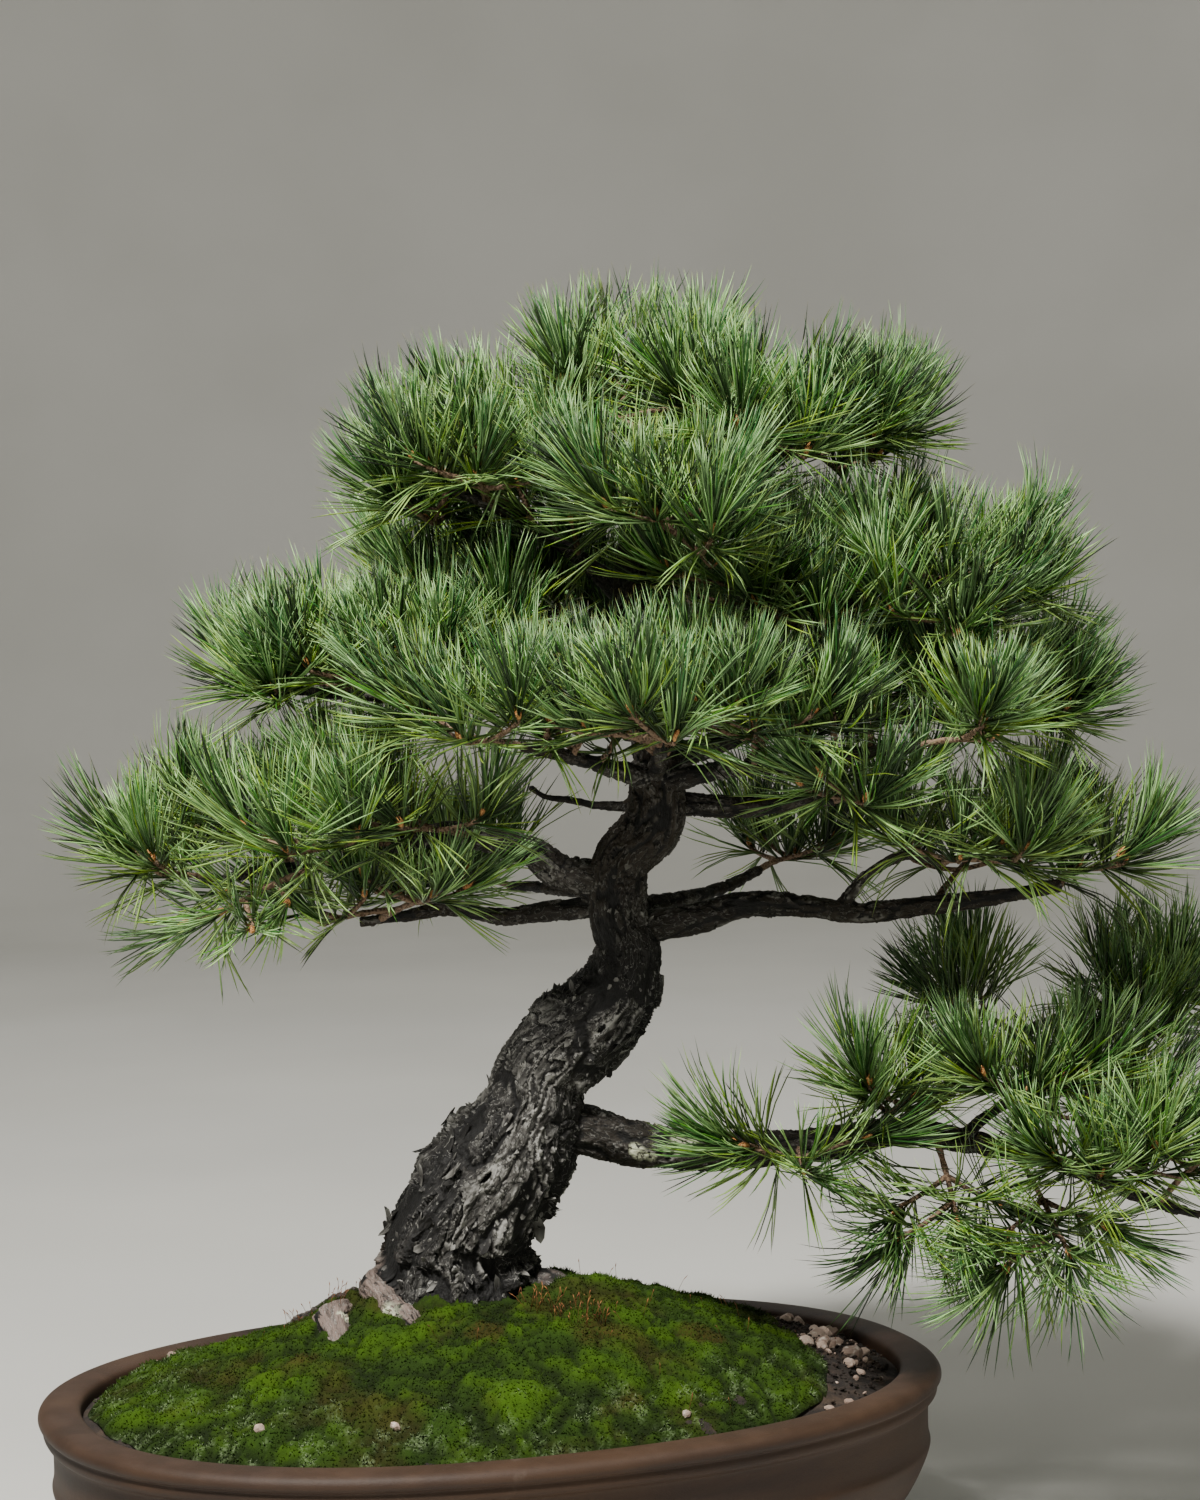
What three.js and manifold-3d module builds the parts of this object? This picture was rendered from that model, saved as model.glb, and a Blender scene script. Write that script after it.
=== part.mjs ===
// A five-needle pine grown as a bonsai, in an oval unglazed stoneware pot.
//
// Units are millimetres, +Z is up and the pot's feet stand at z = 0. The pot's length runs along X
// and its centre is on the Z axis while the pieces are made; the finished group is then moved so
// that the middle of its outline is the origin.
//
// The tree is measured in its own front view: "across" runs to the right, "depth" runs away from
// the viewer and "height" is above the table. TREE_TURN turns that view into the pot's frame.

import * as THREE from "three";
import * as BufferGeometryUtils from "three/addons/utils/BufferGeometryUtils.js";
import Module from "manifold-3d";

const wasm = await Module();
wasm.setup();

// ---------------------------------------------------------------- driving dimensions

const POT_LENGTH = 520;
const POT_WIDTH = 390;
const RIM_HEIGHT = 112;
const OVAL_POWER = 2.22;
const POT_FLOOR_TOP = 24;
const POT_UNDERSIDE = 12;
const POT_SEGMENTS = 36;
const DRAIN_HOLE_DIAMETER = 28;
const DRAIN_HOLE_SPACING = 220;
const FOOT_OUTER_INSET = 52;
const FOOT_INNER_INSET = 70;
const FOOT_HALF_ANGLE = 12;
const FOOT_ANGLES = [38, 142, 218, 322];

const SCREEN_SIDE = 46;
const SCREEN_THICKNESS = 1.5;
const SCREEN_OPENINGS = 3;
const SCREEN_BAR = 3;

const FIT_GAP = 0.35;
const SOIL_EDGE_HEIGHT = RIM_HEIGHT - 8;
const MOUND_RISE = 52;
const SOIL_INSET = 25;
const MOSS_THICKNESS = 6;
const GRIT_COUNT = 14;

const TREE_TURN = THREE.MathUtils.degToRad(-19.4);
const ROOT_BALL_BOTTOM = 70;
const TRUNK_SIDES = 12;
const BRANCH_SIDES = 6;

const NEEDLE_LENGTH = 58;
const NEEDLE_CLEARANCE = 0.7;
const OWN_TWIG_CLEARANCE = 0.2;
const NEEDLE_ROOT_RADIUS = 1.2;
const LOWEST_NEEDLE = RIM_HEIGHT + 14;
const BUD_RADIUS = 1.35;
const BUD_LENGTH = 3.4;
const TWIG_RADIUS = 2.2;

// ---------------------------------------------------------------- colours and finishes

function finish(color, roughness) {
  return new THREE.MeshStandardMaterial({ color, roughness, metalness: 0 });
}

const STONEWARE = finish(0x5b4738, 0.75);
const SCREEN_PLASTIC = finish(0x2c3a30, 0.6);
const SOIL = finish(0x2e241c, 0.95);
const MOSS = finish(0x5f7a2c, 0.95);
const BARK = finish(0x5f5349, 0.9);
const NEEDLE_GREEN = finish(0x5d7c43, 0.55);
const NEEDLE_BLUE_GREEN = finish(0x6f8f76, 0.55);

// ---------------------------------------------------------------- small helpers

const UP = new THREE.Vector3(0, 0, 1);

// A repeatable draw between 0 and 1.
function draw(n, k) {
  const s = Math.sin(n * 12.9898 + k * 78.233) * 43758.5453;
  return s - Math.floor(s);
}

function smoothstep(from, to, value) {
  const t = Math.min(1, Math.max(0, (value - from) / (to - from)));
  return t * t * (3 - 2 * t);
}

// A point of the tree's front view, in the pot's frame.
function treePoint([across, depth, height]) {
  return new THREE.Vector3(across, depth, height).applyAxisAngle(UP, TREE_TURN);
}

function indexedGeometry(points, triangles) {
  const geometry = new THREE.BufferGeometry();
  const flat = points.flatMap((p) => [p.x, p.y, p.z]);
  geometry.setAttribute("position", new THREE.Float32BufferAttribute(flat, 3));
  geometry.setIndex(triangles);
  return geometry;
}

function solidOf(geometry) {
  const bare = geometry.clone();
  bare.deleteAttribute("normal");
  bare.deleteAttribute("uv");
  const merged = BufferGeometryUtils.mergeVertices(bare, 1e-4);
  const vertProperties = new Float32Array(merged.attributes.position.array);
  const triVerts = new Uint32Array(merged.index.array);
  return new wasm.Manifold(new wasm.Mesh({ numProp: 3, vertProperties, triVerts }));
}

function geometryOf(solid) {
  const { vertProperties, triVerts } = solid.getMesh();
  const geometry = new THREE.BufferGeometry();
  geometry.setAttribute("position", new THREE.BufferAttribute(vertProperties, 3));
  geometry.setIndex(new THREE.BufferAttribute(triVerts, 1));
  geometry.computeVertexNormals();
  return geometry;
}

function joined(solids) {
  return solids.reduce((whole, next) => whole.add(next));
}

function largestPiece(solid) {
  const pieces = solid.decompose();
  return pieces.reduce((best, next) => (next.volume() > best.volume() ? next : best));
}

const group = new THREE.Group();

function addNode(name, solid, material) {
  const mesh = new THREE.Mesh(geometryOf(solid), material);
  mesh.name = name;
  group.add(mesh);
}

// ---------------------------------------------------------------- tubes

// Rings of points across a path, turned with it so that the tube doesn't twist.
// Each station is { point, radius }; relief(stationIndex, angle) scales the radius.
function tubeRings(stations, sides, relief) {
  const rings = [];
  let side = null;
  stations.forEach((station, i) => {
    const before = stations[Math.max(0, i - 1)].point;
    const after = stations[Math.min(stations.length - 1, i + 1)].point;
    const along = after.clone().sub(before).normalize();
    if (side === null) {
      const start = Math.abs(along.z) > 0.9 ? new THREE.Vector3(1, 0, 0) : UP;
      side = new THREE.Vector3().crossVectors(start, along);
    }
    side.addScaledVector(along, -side.dot(along)).normalize();
    const other = new THREE.Vector3().crossVectors(along, side);
    const ring = [];
    for (let k = 0; k < sides; k += 1) {
      const angle = (2 * Math.PI * k) / sides;
      const reach = station.radius * relief(i, angle) + (station.extra ?? 0);
      const spoke = side.clone().multiplyScalar(Math.cos(angle) * reach);
      ring.push(station.point.clone().add(spoke.addScaledVector(other, Math.sin(angle) * reach)));
    }
    rings.push(ring);
  });
  return rings;
}

function centreOf(points) {
  const sum = points.reduce((total, p) => total.add(p), new THREE.Vector3());
  return sum.divideScalar(points.length);
}

// A closed skin over rings of equal length, with a fan over each end. Two skins that follow the same
// rings in opposite order match face for face if one of them has its diagonals swapped.
function loft(rings, swapDiagonals = false) {
  const count = rings[0].length;
  const points = rings.flat();
  const triangles = [];
  for (let i = 0; i + 1 < rings.length; i += 1) {
    for (let k = 0; k < count; k += 1) {
      const a = i * count + k;
      const b = i * count + ((k + 1) % count);
      if (swapDiagonals) {
        triangles.push(a, b, a + count, b, b + count, a + count);
      } else {
        triangles.push(a, b, b + count, a, b + count, a + count);
      }
    }
  }
  const first = points.length;
  points.push(centreOf(rings[0]), centreOf(rings[rings.length - 1]));
  const lastRing = (rings.length - 1) * count;
  for (let k = 0; k < count; k += 1) {
    const next = (k + 1) % count;
    triangles.push(first, next, k);
    triangles.push(first + 1, lastRing + k, lastRing + next);
  }
  return indexedGeometry(points, triangles);
}

// ---------------------------------------------------------------- the pot

// A point on the pot's oval outline at an angle, moved inwards by an inset.
function ovalPoint(angle, inset, height) {
  const a = POT_LENGTH / 2;
  const b = POT_WIDTH / 2;
  const c = Math.cos(angle);
  const s = Math.sin(angle);
  const x = a * Math.sign(c) * Math.abs(c) ** (2 / OVAL_POWER);
  const y = b * Math.sign(s) * Math.abs(s) ** (2 / OVAL_POWER);
  const nx = (Math.sign(x) * Math.abs(x / a) ** (OVAL_POWER - 1)) / a;
  const ny = (Math.sign(y) * Math.abs(y / b) ** (OVAL_POWER - 1)) / b;
  const size = Math.hypot(nx, ny);
  return new THREE.Vector3(x - (inset * nx) / size, y - (inset * ny) / size, height);
}

function ovalRing(inset, height) {
  const ring = [];
  for (let k = 0; k < POT_SEGMENTS; k += 1) {
    ring.push(ovalPoint((2 * Math.PI * (k + 0.5)) / POT_SEGMENTS, inset, height));
  }
  return ring;
}

// [inset from the rim's edge, height] up the outside, over the rim and down the inside.
const POT_PROFILE = [
  [66, POT_UNDERSIDE],
  [50, POT_UNDERSIDE],
  [34, 21],
  [20, 38],
  [11, 56],
  [8, 68],
  [8, 93],
  [3.6, 95.5],
  [3.4, 101.5],
  [0, 104.5],
  [1.5, 109.5],
  [7, RIM_HEIGHT],
  [20, 111.5],
  [24.5, 109],
  [24.5, 62],
  [36, 40],
  [68, POT_FLOOR_TOP],
];

function buildPot() {
  const bowl = solidOf(loft(POT_PROFILE.map(([inset, height]) => ovalRing(inset, height))));
  const feet = FOOT_ANGLES.map((middle) => solidOf(footGeometry(middle)));
  const holes = [-1, 1].map((side) => {
    const hole = new THREE.CylinderGeometry(DRAIN_HOLE_DIAMETER / 2, DRAIN_HOLE_DIAMETER / 2, 60, 16);
    hole.rotateX(Math.PI / 2);
    hole.translate((side * DRAIN_HOLE_SPACING) / 2, 0, POT_UNDERSIDE);
    return solidOf(hole);
  });
  return joined([bowl, ...feet]).subtract(joined(holes));
}

// A foot follows the oval for a few degrees each way and runs up into the pot's base.
function footGeometry(middleDegrees) {
  const rings = [];
  const steps = 3;
  for (let i = 0; i <= steps; i += 1) {
    const degrees = middleDegrees + FOOT_HALF_ANGLE * ((2 * i) / steps - 1);
    const angle = THREE.MathUtils.degToRad(degrees);
    rings.push([
      ovalPoint(angle, FOOT_OUTER_INSET, 0),
      ovalPoint(angle, FOOT_INNER_INSET, 0),
      ovalPoint(angle, FOOT_INNER_INSET, POT_UNDERSIDE + 2),
      ovalPoint(angle, FOOT_OUTER_INSET, POT_UNDERSIDE + 2),
    ]);
  }
  return loft(rings);
}

// ---------------------------------------------------------------- drain screens

function boxAt(x, y, z, width, depth, height) {
  const box = new THREE.BoxGeometry(width, depth, height);
  box.translate(x, y, z);
  return solidOf(box);
}

// A plastic mesh that lies over a drain hole, with square openings between narrow bars.
function buildScreen(side) {
  const x = (side * DRAIN_HOLE_SPACING) / 2;
  const z = POT_FLOOR_TOP + FIT_GAP + SCREEN_THICKNESS / 2;
  const pitch = (SCREEN_SIDE - SCREEN_BAR) / SCREEN_OPENINGS;
  const opening = pitch - SCREEN_BAR;
  const openings = [];
  for (let i = 0; i < SCREEN_OPENINGS; i += 1) {
    for (let j = 0; j < SCREEN_OPENINGS; j += 1) {
      const fromMiddle = (SCREEN_OPENINGS - 1) / 2;
      const dx = (i - fromMiddle) * pitch;
      const dy = (j - fromMiddle) * pitch;
      openings.push(boxAt(x + dx, dy, z, opening, opening, 2 * SCREEN_THICKNESS));
    }
  }
  return boxAt(x, 0, z, SCREEN_SIDE, SCREEN_SIDE, SCREEN_THICKNESS).subtract(joined(openings));
}

function screenPocket(side) {
  const reach = SCREEN_SIDE + 2 * FIT_GAP;
  const height = 2 * (SCREEN_THICKNESS + FIT_GAP);
  return boxAt((side * DRAIN_HOLE_SPACING) / 2, 0, POT_FLOOR_TOP + FIT_GAP, reach, reach, height);
}

// ---------------------------------------------------------------- soil and moss

// Height of the mound at a share of the way from the pot's centre to the soil's edge.
function moundHeight(share, x) {
  const slopes = 1 - 0.3 * smoothstep(-40, -150, x) - 0.2 * smoothstep(40, 180, x);
  return SOIL_EDGE_HEIGHT + MOUND_RISE * (1 - share ** 2.1) * slopes;
}

// The share of the way out at which the moss ends: short of the bare right end of the mound.
function mossEdge(angle) {
  const right = Math.max(0, Math.cos(angle)) ** 4;
  const ragged = 0.03 * Math.sin(5 * angle + 1) + 0.02 * Math.sin(11 * angle);
  return 0.95 + right * (ragged - 0.24);
}

const MOSS_SHARES = [0.3, 0.56, 0.8, 1];

// The mound's ring number i: shares of the moss's edge, then the rim of bare soil.
function moundRing(i, lift) {
  const ring = [];
  for (let k = 0; k < POT_SEGMENTS; k += 1) {
    const angle = (2 * Math.PI * (k + 0.5)) / POT_SEGMENTS;
    const edge = ovalPoint(angle, SOIL_INSET, 0);
    const share = i < MOSS_SHARES.length ? MOSS_SHARES[i] * mossEdge(angle) : 1;
    const x = edge.x * share;
    const height = moundHeight(share, x) + lift(i, k);
    ring.push(new THREE.Vector3(x, edge.y * share, height));
  }
  return ring;
}

function buildSoil(rootHole) {
  const below = POT_PROFILE.slice(-3).reverse();
  const rings = below.map(([inset, height]) => ovalRing(inset + FIT_GAP, height + FIT_GAP));
  for (let i = MOSS_SHARES.length; i >= 0; i -= 1) {
    rings.push(moundRing(i, () => 0));
  }
  const mound = solidOf(loft(rings));
  const grit = [];
  for (let n = 0; n < GRIT_COUNT; n += 1) {
    grit.push(solidOf(gritGeometry(n)));
  }
  const pockets = [-1, 1].map((side) => screenPocket(side));
  return joined([mound, ...grit]).subtract(joined([rootHole, ...pockets]));
}

// A stone lying on the bare soil at the right end.
function gritGeometry(n) {
  const angle = (draw(n, 1) - 0.5) * 0.9;
  const edge = ovalPoint(angle, SOIL_INSET, 0);
  const inner = mossEdge(angle) + 0.07;
  const share = inner + (0.93 - inner) * draw(n, 2);
  const size = 4 + 3 * draw(n, 3);
  const stone = new THREE.OctahedronGeometry(size, 0);
  stone.scale(1, 0.8, 0.7);
  stone.rotateZ(draw(n, 4) * Math.PI);
  stone.translate(edge.x * share, edge.y * share, moundHeight(share, edge.x * share) + 0.2 * size);
  return stone;
}

function buildMoss(rootHole) {
  const rings = [];
  for (let i = 0; i < MOSS_SHARES.length; i += 1) {
    rings.push(moundRing(i, () => FIT_GAP));
  }
  const last = MOSS_SHARES.length - 1;
  for (let i = last; i >= 0; i -= 1) {
    const edge = i === last ? 0.35 : 1;
    rings.push(moundRing(i, (ring, k) => edge * MOSS_THICKNESS * (0.6 + draw(ring * POT_SEGMENTS + k, 5))));
  }
  return solidOf(loft(rings, true)).subtract(rootHole);
}

// ---------------------------------------------------------------- trunk, branches and roots

// [across, depth, height, radius]
const TRUNK = [
  [-26, 24, ROOT_BALL_BOTTOM, 34],
  [-26, 24, 105, 52],
  [-26, 24, 139, 57],
  [-24, 23, 160, 49],
  [-24, 22, 182, 42],
  [-10, 21, 206, 41],
  [3, 21, 223, 39],
  [14, 20, 242, 36],
  [24, 19, 264, 29],
  [30, 19, 284, 26],
  [48, 18, 301, 28.5],
  [62, 17, 315, 28],
  [75, 17, 331, 25],
  [80, 16, 352, 20.5],
  [76, 15, 373, 17],
  [76, 15, 391, 17],
  [80, 14, 407, 17],
  [95, 13, 424, 17.5],
  [99, 13, 446, 16],
  [97, 11, 474, 12],
  [90, 11, 497, 11],
  [86, 10, 525, 10],
  [85, 9, 554, 9],
  [88, 7, 588, 8],
  [93, 6, 622, 7],
  [93, 5, 650, 4],
];

// Each branch starts inside the trunk, or inside the branch that bears it. [across, depth, height]
// with the radius at its start and at its end.
const BRANCHES = {
  lowRight: {
    radii: [15, 3],
    points: [
      [40, 22, 252],
      [85, 19, 240],
      [120, 16, 236],
      [160, 19, 236],
      [201, 24, 238],
      [236, 29, 243],
      [271, 34, 236],
      [312, 36, 226],
      [348, 39, 213],
      [382, 39, 197],
      [412, 42, 187],
    ],
  },
  lowRightBack: {
    radii: [6, 3],
    points: [[236, 29, 243], [278, 84, 263], [325, 124, 287], [365, 144, 296]],
  },
  lowRightFork: { radii: [4.5, 3], points: [[271, 34, 236], [285, 26, 250], [299, 19, 261]] },
  midRight: {
    radii: [10, 4],
    points: [
      [80, 20, 364],
      [122, 21, 370],
      [146, 19, 377],
      [180, 19, 376],
      [215, 21, 371],
      [255, 24, 374],
      [296, 29, 378],
      [332, 34, 383],
    ],
  },
  midRightFork: {
    radii: [4.2, 2.4],
    points: [[203, 20, 373], [219, 18, 393], [241, 16, 404], [262, 12, 399]],
  },
  lowLeft: {
    radii: [7, 3],
    points: [[76, 20, 380], [30, 34, 374], [7, 36, 372], [-22, 39, 377], [-51, 39, 373], [-75, 39, 370]],
  },
  midLeft: {
    radii: [12, 2.6],
    points: [
      [76, 18, 390],
      [42, 19, 399],
      [28, 14, 410],
      [9, 9, 417],
      [-16, -1, 423],
      [-39, -6, 421],
      [-64, -11, 416],
      [-93, -11, 408],
      [-121, -11, 406],
      [-150, -6, 400],
    ],
  },
  rightShort: {
    radii: [8, 3],
    points: [[98, 18, 437], [141, 19, 434], [164, 14, 434], [181, 12, 437], [201, 9, 437]],
  },
  leftThin: {
    radii: [3.2, 1.8],
    points: [[92, 18, 435], [66, 23, 436], [49, 21, 440], [35, 19, 442], [26, 16, 448]],
  },
  frontLeft: { radii: [6.5, 3], points: [[97, 8, 450], [67, -26, 462], [45, -51, 469], [23, -66, 475]] },
  frontMiddle: { radii: [6, 3], points: [[98, 8, 452], [100, -36, 467], [100, -71, 474]] },
  frontRight: {
    radii: [6.5, 3],
    points: [[100, 10, 448], [134, -21, 457], [166, -46, 460], [204, -61, 466], [243, -56, 470]],
  },
  backRightLow: {
    radii: [6, 3],
    points: [[78, 20, 377], [112, 64, 377], [137, 104, 379], [163, 134, 388]],
  },
  backLeftLow: { radii: [5.5, 3], points: [[76, 20, 385], [41, 74, 384], [11, 114, 383]] },
  upperRight: {
    radii: [8, 3],
    points: [[88, 14, 500], [126, 24, 519], [166, 19, 535], [206, 19, 548], [241, 24, 556], [276, 24, 558]],
  },
  right: {
    radii: [8, 3],
    points: [[98, 16, 458], [160, 44, 477], [219, 54, 481], [264, 54, 483], [298, 49, 482]],
  },
  left: {
    radii: [7.5, 2.8],
    points: [[97, 14, 476], [56, 34, 488], [10, 34, 495], [-30, 29, 499], [-76, 24, 503], [-116, 24, 507]],
  },
  upperLeft: {
    radii: [6.5, 2.8],
    points: [[85, 10, 552], [69, 24, 569], [52, 24, 583], [30, 24, 598], [7, 24, 610], [-16, 24, 619]],
  },
  crownRight: {
    radii: [5.5, 2.8],
    points: [[90, 8, 598], [128, 24, 622], [169, 29, 644], [209, 29, 657]],
  },
  back: { radii: [6.5, 3], points: [[90, 14, 496], [98, 84, 506], [105, 144, 517], [100, 184, 523]] },
  backLeft: { radii: [6, 3], points: [[86, 12, 525], [45, 84, 537], [2, 134, 550]] },
  backRight: { radii: [6, 3], points: [[88, 12, 528], [152, 94, 541], [209, 134, 552]] },
  backUpper: { radii: [5, 2.8], points: [[89, 10, 592], [94, 74, 613], [101, 114, 632]] },
  frontUpper: { radii: [5, 2.8], points: [[87, 8, 576], [98, -16, 584], [105, -51, 591]] },
};

// Surface roots, [across, depth, height, radius].
const ROOTS = [
  [[-50, 24, 172, 13], [-68, 0, 166, 12], [-58, -24, 158, 11], [-42, -46, 147, 10], [-24, -72, 122, 7]],
  [[-55, 20, 158, 15], [-88, 0, 157, 15], [-92, -22, 152, 14], [-84, -44, 138, 12], [-80, -62, 114, 8]],
  [[0, 20, 158, 15], [42, 14, 153, 12], [78, 8, 142, 9], [112, 2, 120, 6]],
  [[-28, 50, 158, 16], [-38, 95, 146, 11], [-44, 130, 118, 7]],
  [[-50, 40, 150, 13], [-100, 58, 136, 9], [-142, 70, 112, 6]],
];

// Bark stands up in plates that are longer than they are wide.
function barkRelief(station, angle) {
  const plates = Math.sin(5 * angle + 2.3 * station) * Math.cos(3 * angle - 1.7 * station);
  return 1 + 0.05 * plates + 0.03 * Math.sin(2 * angle + station);
}

// The radii along a branch that tapers from its start to its end.
function taper([start, end], count) {
  return Array.from({ length: count }, (_, i) => start + (end - start) * (i / (count - 1)) ** 0.8);
}

function limb(points, radii, sides, extra) {
  const stations = points.map((point, i) => ({ point: treePoint(point), radius: radii[i], extra }));
  return solidOf(loft(tubeRings(stations, sides, barkRelief)));
}

// The whole tree without its needles; extra thickens every limb, to cut fitting holes.
function buildTrunk(extra) {
  const limbs = [limb(TRUNK, TRUNK.map((row) => row[3]), TRUNK_SIDES, extra)];
  for (const { radii, points } of Object.values(BRANCHES)) {
    limbs.push(limb(points, taper(radii, points.length), BRANCH_SIDES, extra));
  }
  for (const root of ROOTS) {
    limbs.push(limb(root, root.map((row) => row[3]), BRANCH_SIDES, extra));
  }
  return joined(limbs);
}

// A point at a share of the way along a branch, counting its points.
function alongBranch(name, share) {
  const points = name === "trunk" ? TRUNK : BRANCHES[name].points;
  const place = share * (points.length - 1);
  const i = Math.min(points.length - 2, Math.floor(place));
  return treePoint(points[i]).lerp(treePoint(points[i + 1]), place - i);
}

// ---------------------------------------------------------------- sprays of needles

// name: [branch, share of the way along it, lift, then a twig's tip [across, depth, height] and its
// number of tufts, for each twig]. Lift above zero turns the tufts up; below zero they hang.
const SPRAYS = {
  left_end: ["midLeft", 1, 0.8, [-184, 2, 402], 5],
  left_back: ["midLeft", 0.82, 1, [-158, 50, 424], 4],
  left_hanging: ["midLeft", 0.74, -0.15, [-140, -52, 388], 5],
  left_front: ["midLeft", 0.6, 0.7, [-104, -66, 418], 4],
  left_top: ["midLeft", 0.5, 1.2, [-84, 14, 446], 4],
  left_inner: ["midLeft", 0.4, 0.8, [-42, -60, 430], 4],
  left_low: ["lowLeft", 0.9, 0.5, [-30, -24, 388], 3, [-92, -10, 374], 3],
  left_low_back: ["lowLeft", 0.6, 0.7, [-52, 88, 380], 4],
  mid_left_end: ["left", 0.97, 0.8, [-115, 22, 503], 5],
  mid_left_front: ["left", 0.82, 0.9, [-70, -24, 514], 4],
  mid_left_inner: ["left", 0.6, 0.9, [-22, -20, 520], 4],
  mid_left_back: ["left", 0.74, 0.9, [-86, 82, 506], 4],
  mid_left_top: ["left", 0.4, 1.2, [4, 30, 540], 4],
  front_left: ["frontLeft", 1, 0.8, [-6, -92, 478], 4],
  front_middle: ["frontMiddle", 1, 0.8, [62, -104, 482], 3, [106, -118, 476], 3],
  front_inner_right: ["frontRight", 0.4, 0.9, [150, -92, 484], 4],
  front_right: ["rightShort", 1, 0.6, [212, -54, 438], 4],
  front_right_end: ["frontRight", 1, 0.7, [280, -66, 472], 4],
  right_end: ["right", 1, 0.8, [324, 46, 474], 5],
  right_front: ["right", 0.74, 0.9, [298, 2, 496], 4],
  right_back: ["right", 0.55, 0.9, [224, 104, 492], 4],
  upper_right_end: ["upperRight", 1, 0.9, [304, 28, 540], 5],
  upper_right_front: ["upperRight", 0.8, 0.8, [262, -32, 562], 3, [266, -44, 528], 3],
  upper_right_inner: ["upperRight", 0.5, 0.8, [192, -36, 532], 4],
  upper_right_top: ["upperRight", 0.3, 1.1, [140, -60, 566], 4],
  low_mid_end: ["midRight", 1, 0.8, [342, 40, 392], 5],
  low_mid_front: ["midRightFork", 1, 0.7, [268, -16, 402], 3, [308, -8, 398], 3],
  low_mid_back: ["midRight", 0.72, 0.9, [292, 84, 402], 4],
  low_right_drooping: ["lowRight", 0.34, 0.1, [176, -26, 230], 4],
  low_right_near: ["lowRight", 0.44, 0.9, [240, 2, 264], 4],
  low_right_middle: ["lowRightFork", 1, 0.9, [304, -10, 266], 5],
  low_right_front: ["lowRight", 0.76, 0.5, [344, -20, 222], 5],
  low_right_hanging: ["lowRight", 0.68, -0.5, [322, -34, 186], 4],
  low_right_under: ["lowRight", 0.56, -0.3, [262, -26, 204], 4],
  low_right_upper: ["lowRight", 0.8, 1, [350, 62, 262], 4],
  low_right_outer: ["lowRight", 0.92, 0.6, [404, -2, 226], 4],
  low_right_end: ["lowRight", 1, 0.3, [440, 38, 190], 5],
  low_right_back: ["lowRightBack", 0.62, 1, [286, 134, 302], 4],
  low_right_far: ["lowRightBack", 1, 0.8, [398, 152, 304], 4, [402, 104, 284], 4],
  upper_left_end: ["upperLeft", 1, 0.8, [-26, 28, 600], 5],
  upper_left_front: ["upperLeft", 0.78, 0.8, [2, -32, 622], 4],
  upper_left_top: ["upperLeft", 0.6, 1.1, [20, 10, 650], 4, [-4, 76, 612], 4],
  crown_right_end: ["crownRight", 1, 0.8, [227, 24, 630], 5],
  crown_right_front: ["crownRight", 0.55, 0.9, [150, -18, 652], 3, [184, -36, 630], 3],
  crown_right_back: ["crownRight", 0.75, 0.8, [214, 76, 624], 4],
  crown_front: ["frontUpper", 1, 0.8, [100, -92, 596], 4, [130, -74, 570], 3],
  back_middle: ["back", 1, 0.8, [98, 220, 526], 5],
  back_left: ["backLeft", 1, 0.8, [-30, 160, 552], 5],
  back_right: ["backRight", 1, 0.8, [240, 156, 554], 5],
  back_crown: ["backUpper", 1, 0.9, [104, 148, 642], 5],
  back_low_right: ["backRightLow", 1, 0.8, [186, 166, 392], 5],
  back_low_left: ["backLeftLow", 1, 0.8, [-18, 142, 386], 5],
  apex: ["trunk", 1, 1.3, [62, 14, 664], 3, [126, 8, 662], 3, [92, 30, 678], 3],
};

// Everything that a needle has to pass clear of: { from, to, r0, r1, owner }.
const obstacles = [];

const RELIEF_REACH = 1.08;

function addLimbObstacles(points, radii) {
  for (let i = 0; i + 1 < points.length; i += 1) {
    const from = treePoint(points[i]);
    const to = treePoint(points[i + 1]);
    obstacles.push({ from, to, r0: radii[i] * RELIEF_REACH, r1: radii[i + 1] * RELIEF_REACH });
  }
}

// The smallest clear distance between two tapering rods.
function clearance(a, b) {
  const lengths = a.from.distanceTo(a.to) + b.from.distanceTo(b.to);
  const atLeast = a.from.distanceTo(b.from) - lengths - Math.max(a.r0, a.r1) - Math.max(b.r0, b.r1);
  if (atLeast > NEEDLE_CLEARANCE) {
    return atLeast;
  }
  const u = a.to.clone().sub(a.from);
  const v = b.to.clone().sub(b.from);
  const w = a.from.clone().sub(b.from);
  const uu = u.dot(u);
  const uv = u.dot(v);
  const vv = v.dot(v);
  const uw = u.dot(w);
  const vw = v.dot(w);
  const clamp = (value) => Math.min(1, Math.max(0, value));
  const det = uu * vv - uv * uv;
  let s = det > 1e-6 ? clamp((uv * vw - vv * uw) / det) : 0;
  const t = clamp((uv * s + vw) / vv);
  s = clamp((uv * t - uw) / uu);
  const gap = w.addScaledVector(u, s).addScaledVector(v, -t).length();
  return gap - (a.r0 + (a.r1 - a.r0) * s) - (b.r0 + (b.r1 - b.r0) * t);
}

// A needle may pass close by the twigs of its own spray, and it starts at its own shoot.
function isClear(needle, owner, shoot) {
  return obstacles.every((other) => {
    if (other.shoot !== undefined && other.shoot === shoot) {
      return true;
    }
    const least = other.twig && other.owner === owner ? OWN_TWIG_CLEARANCE : NEEDLE_CLEARANCE;
    return clearance(needle, other) > least;
  });
}

// A direction leaning from an axis by a tilt, towards an azimuth round it.
function leaning(axis, side, azimuth, tilt) {
  const other = new THREE.Vector3().crossVectors(axis, side);
  const out = side.clone().multiplyScalar(Math.cos(azimuth));
  out.addScaledVector(other, Math.sin(azimuth));
  return axis.clone().multiplyScalar(Math.cos(tilt)).addScaledVector(out, Math.sin(tilt));
}

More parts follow.
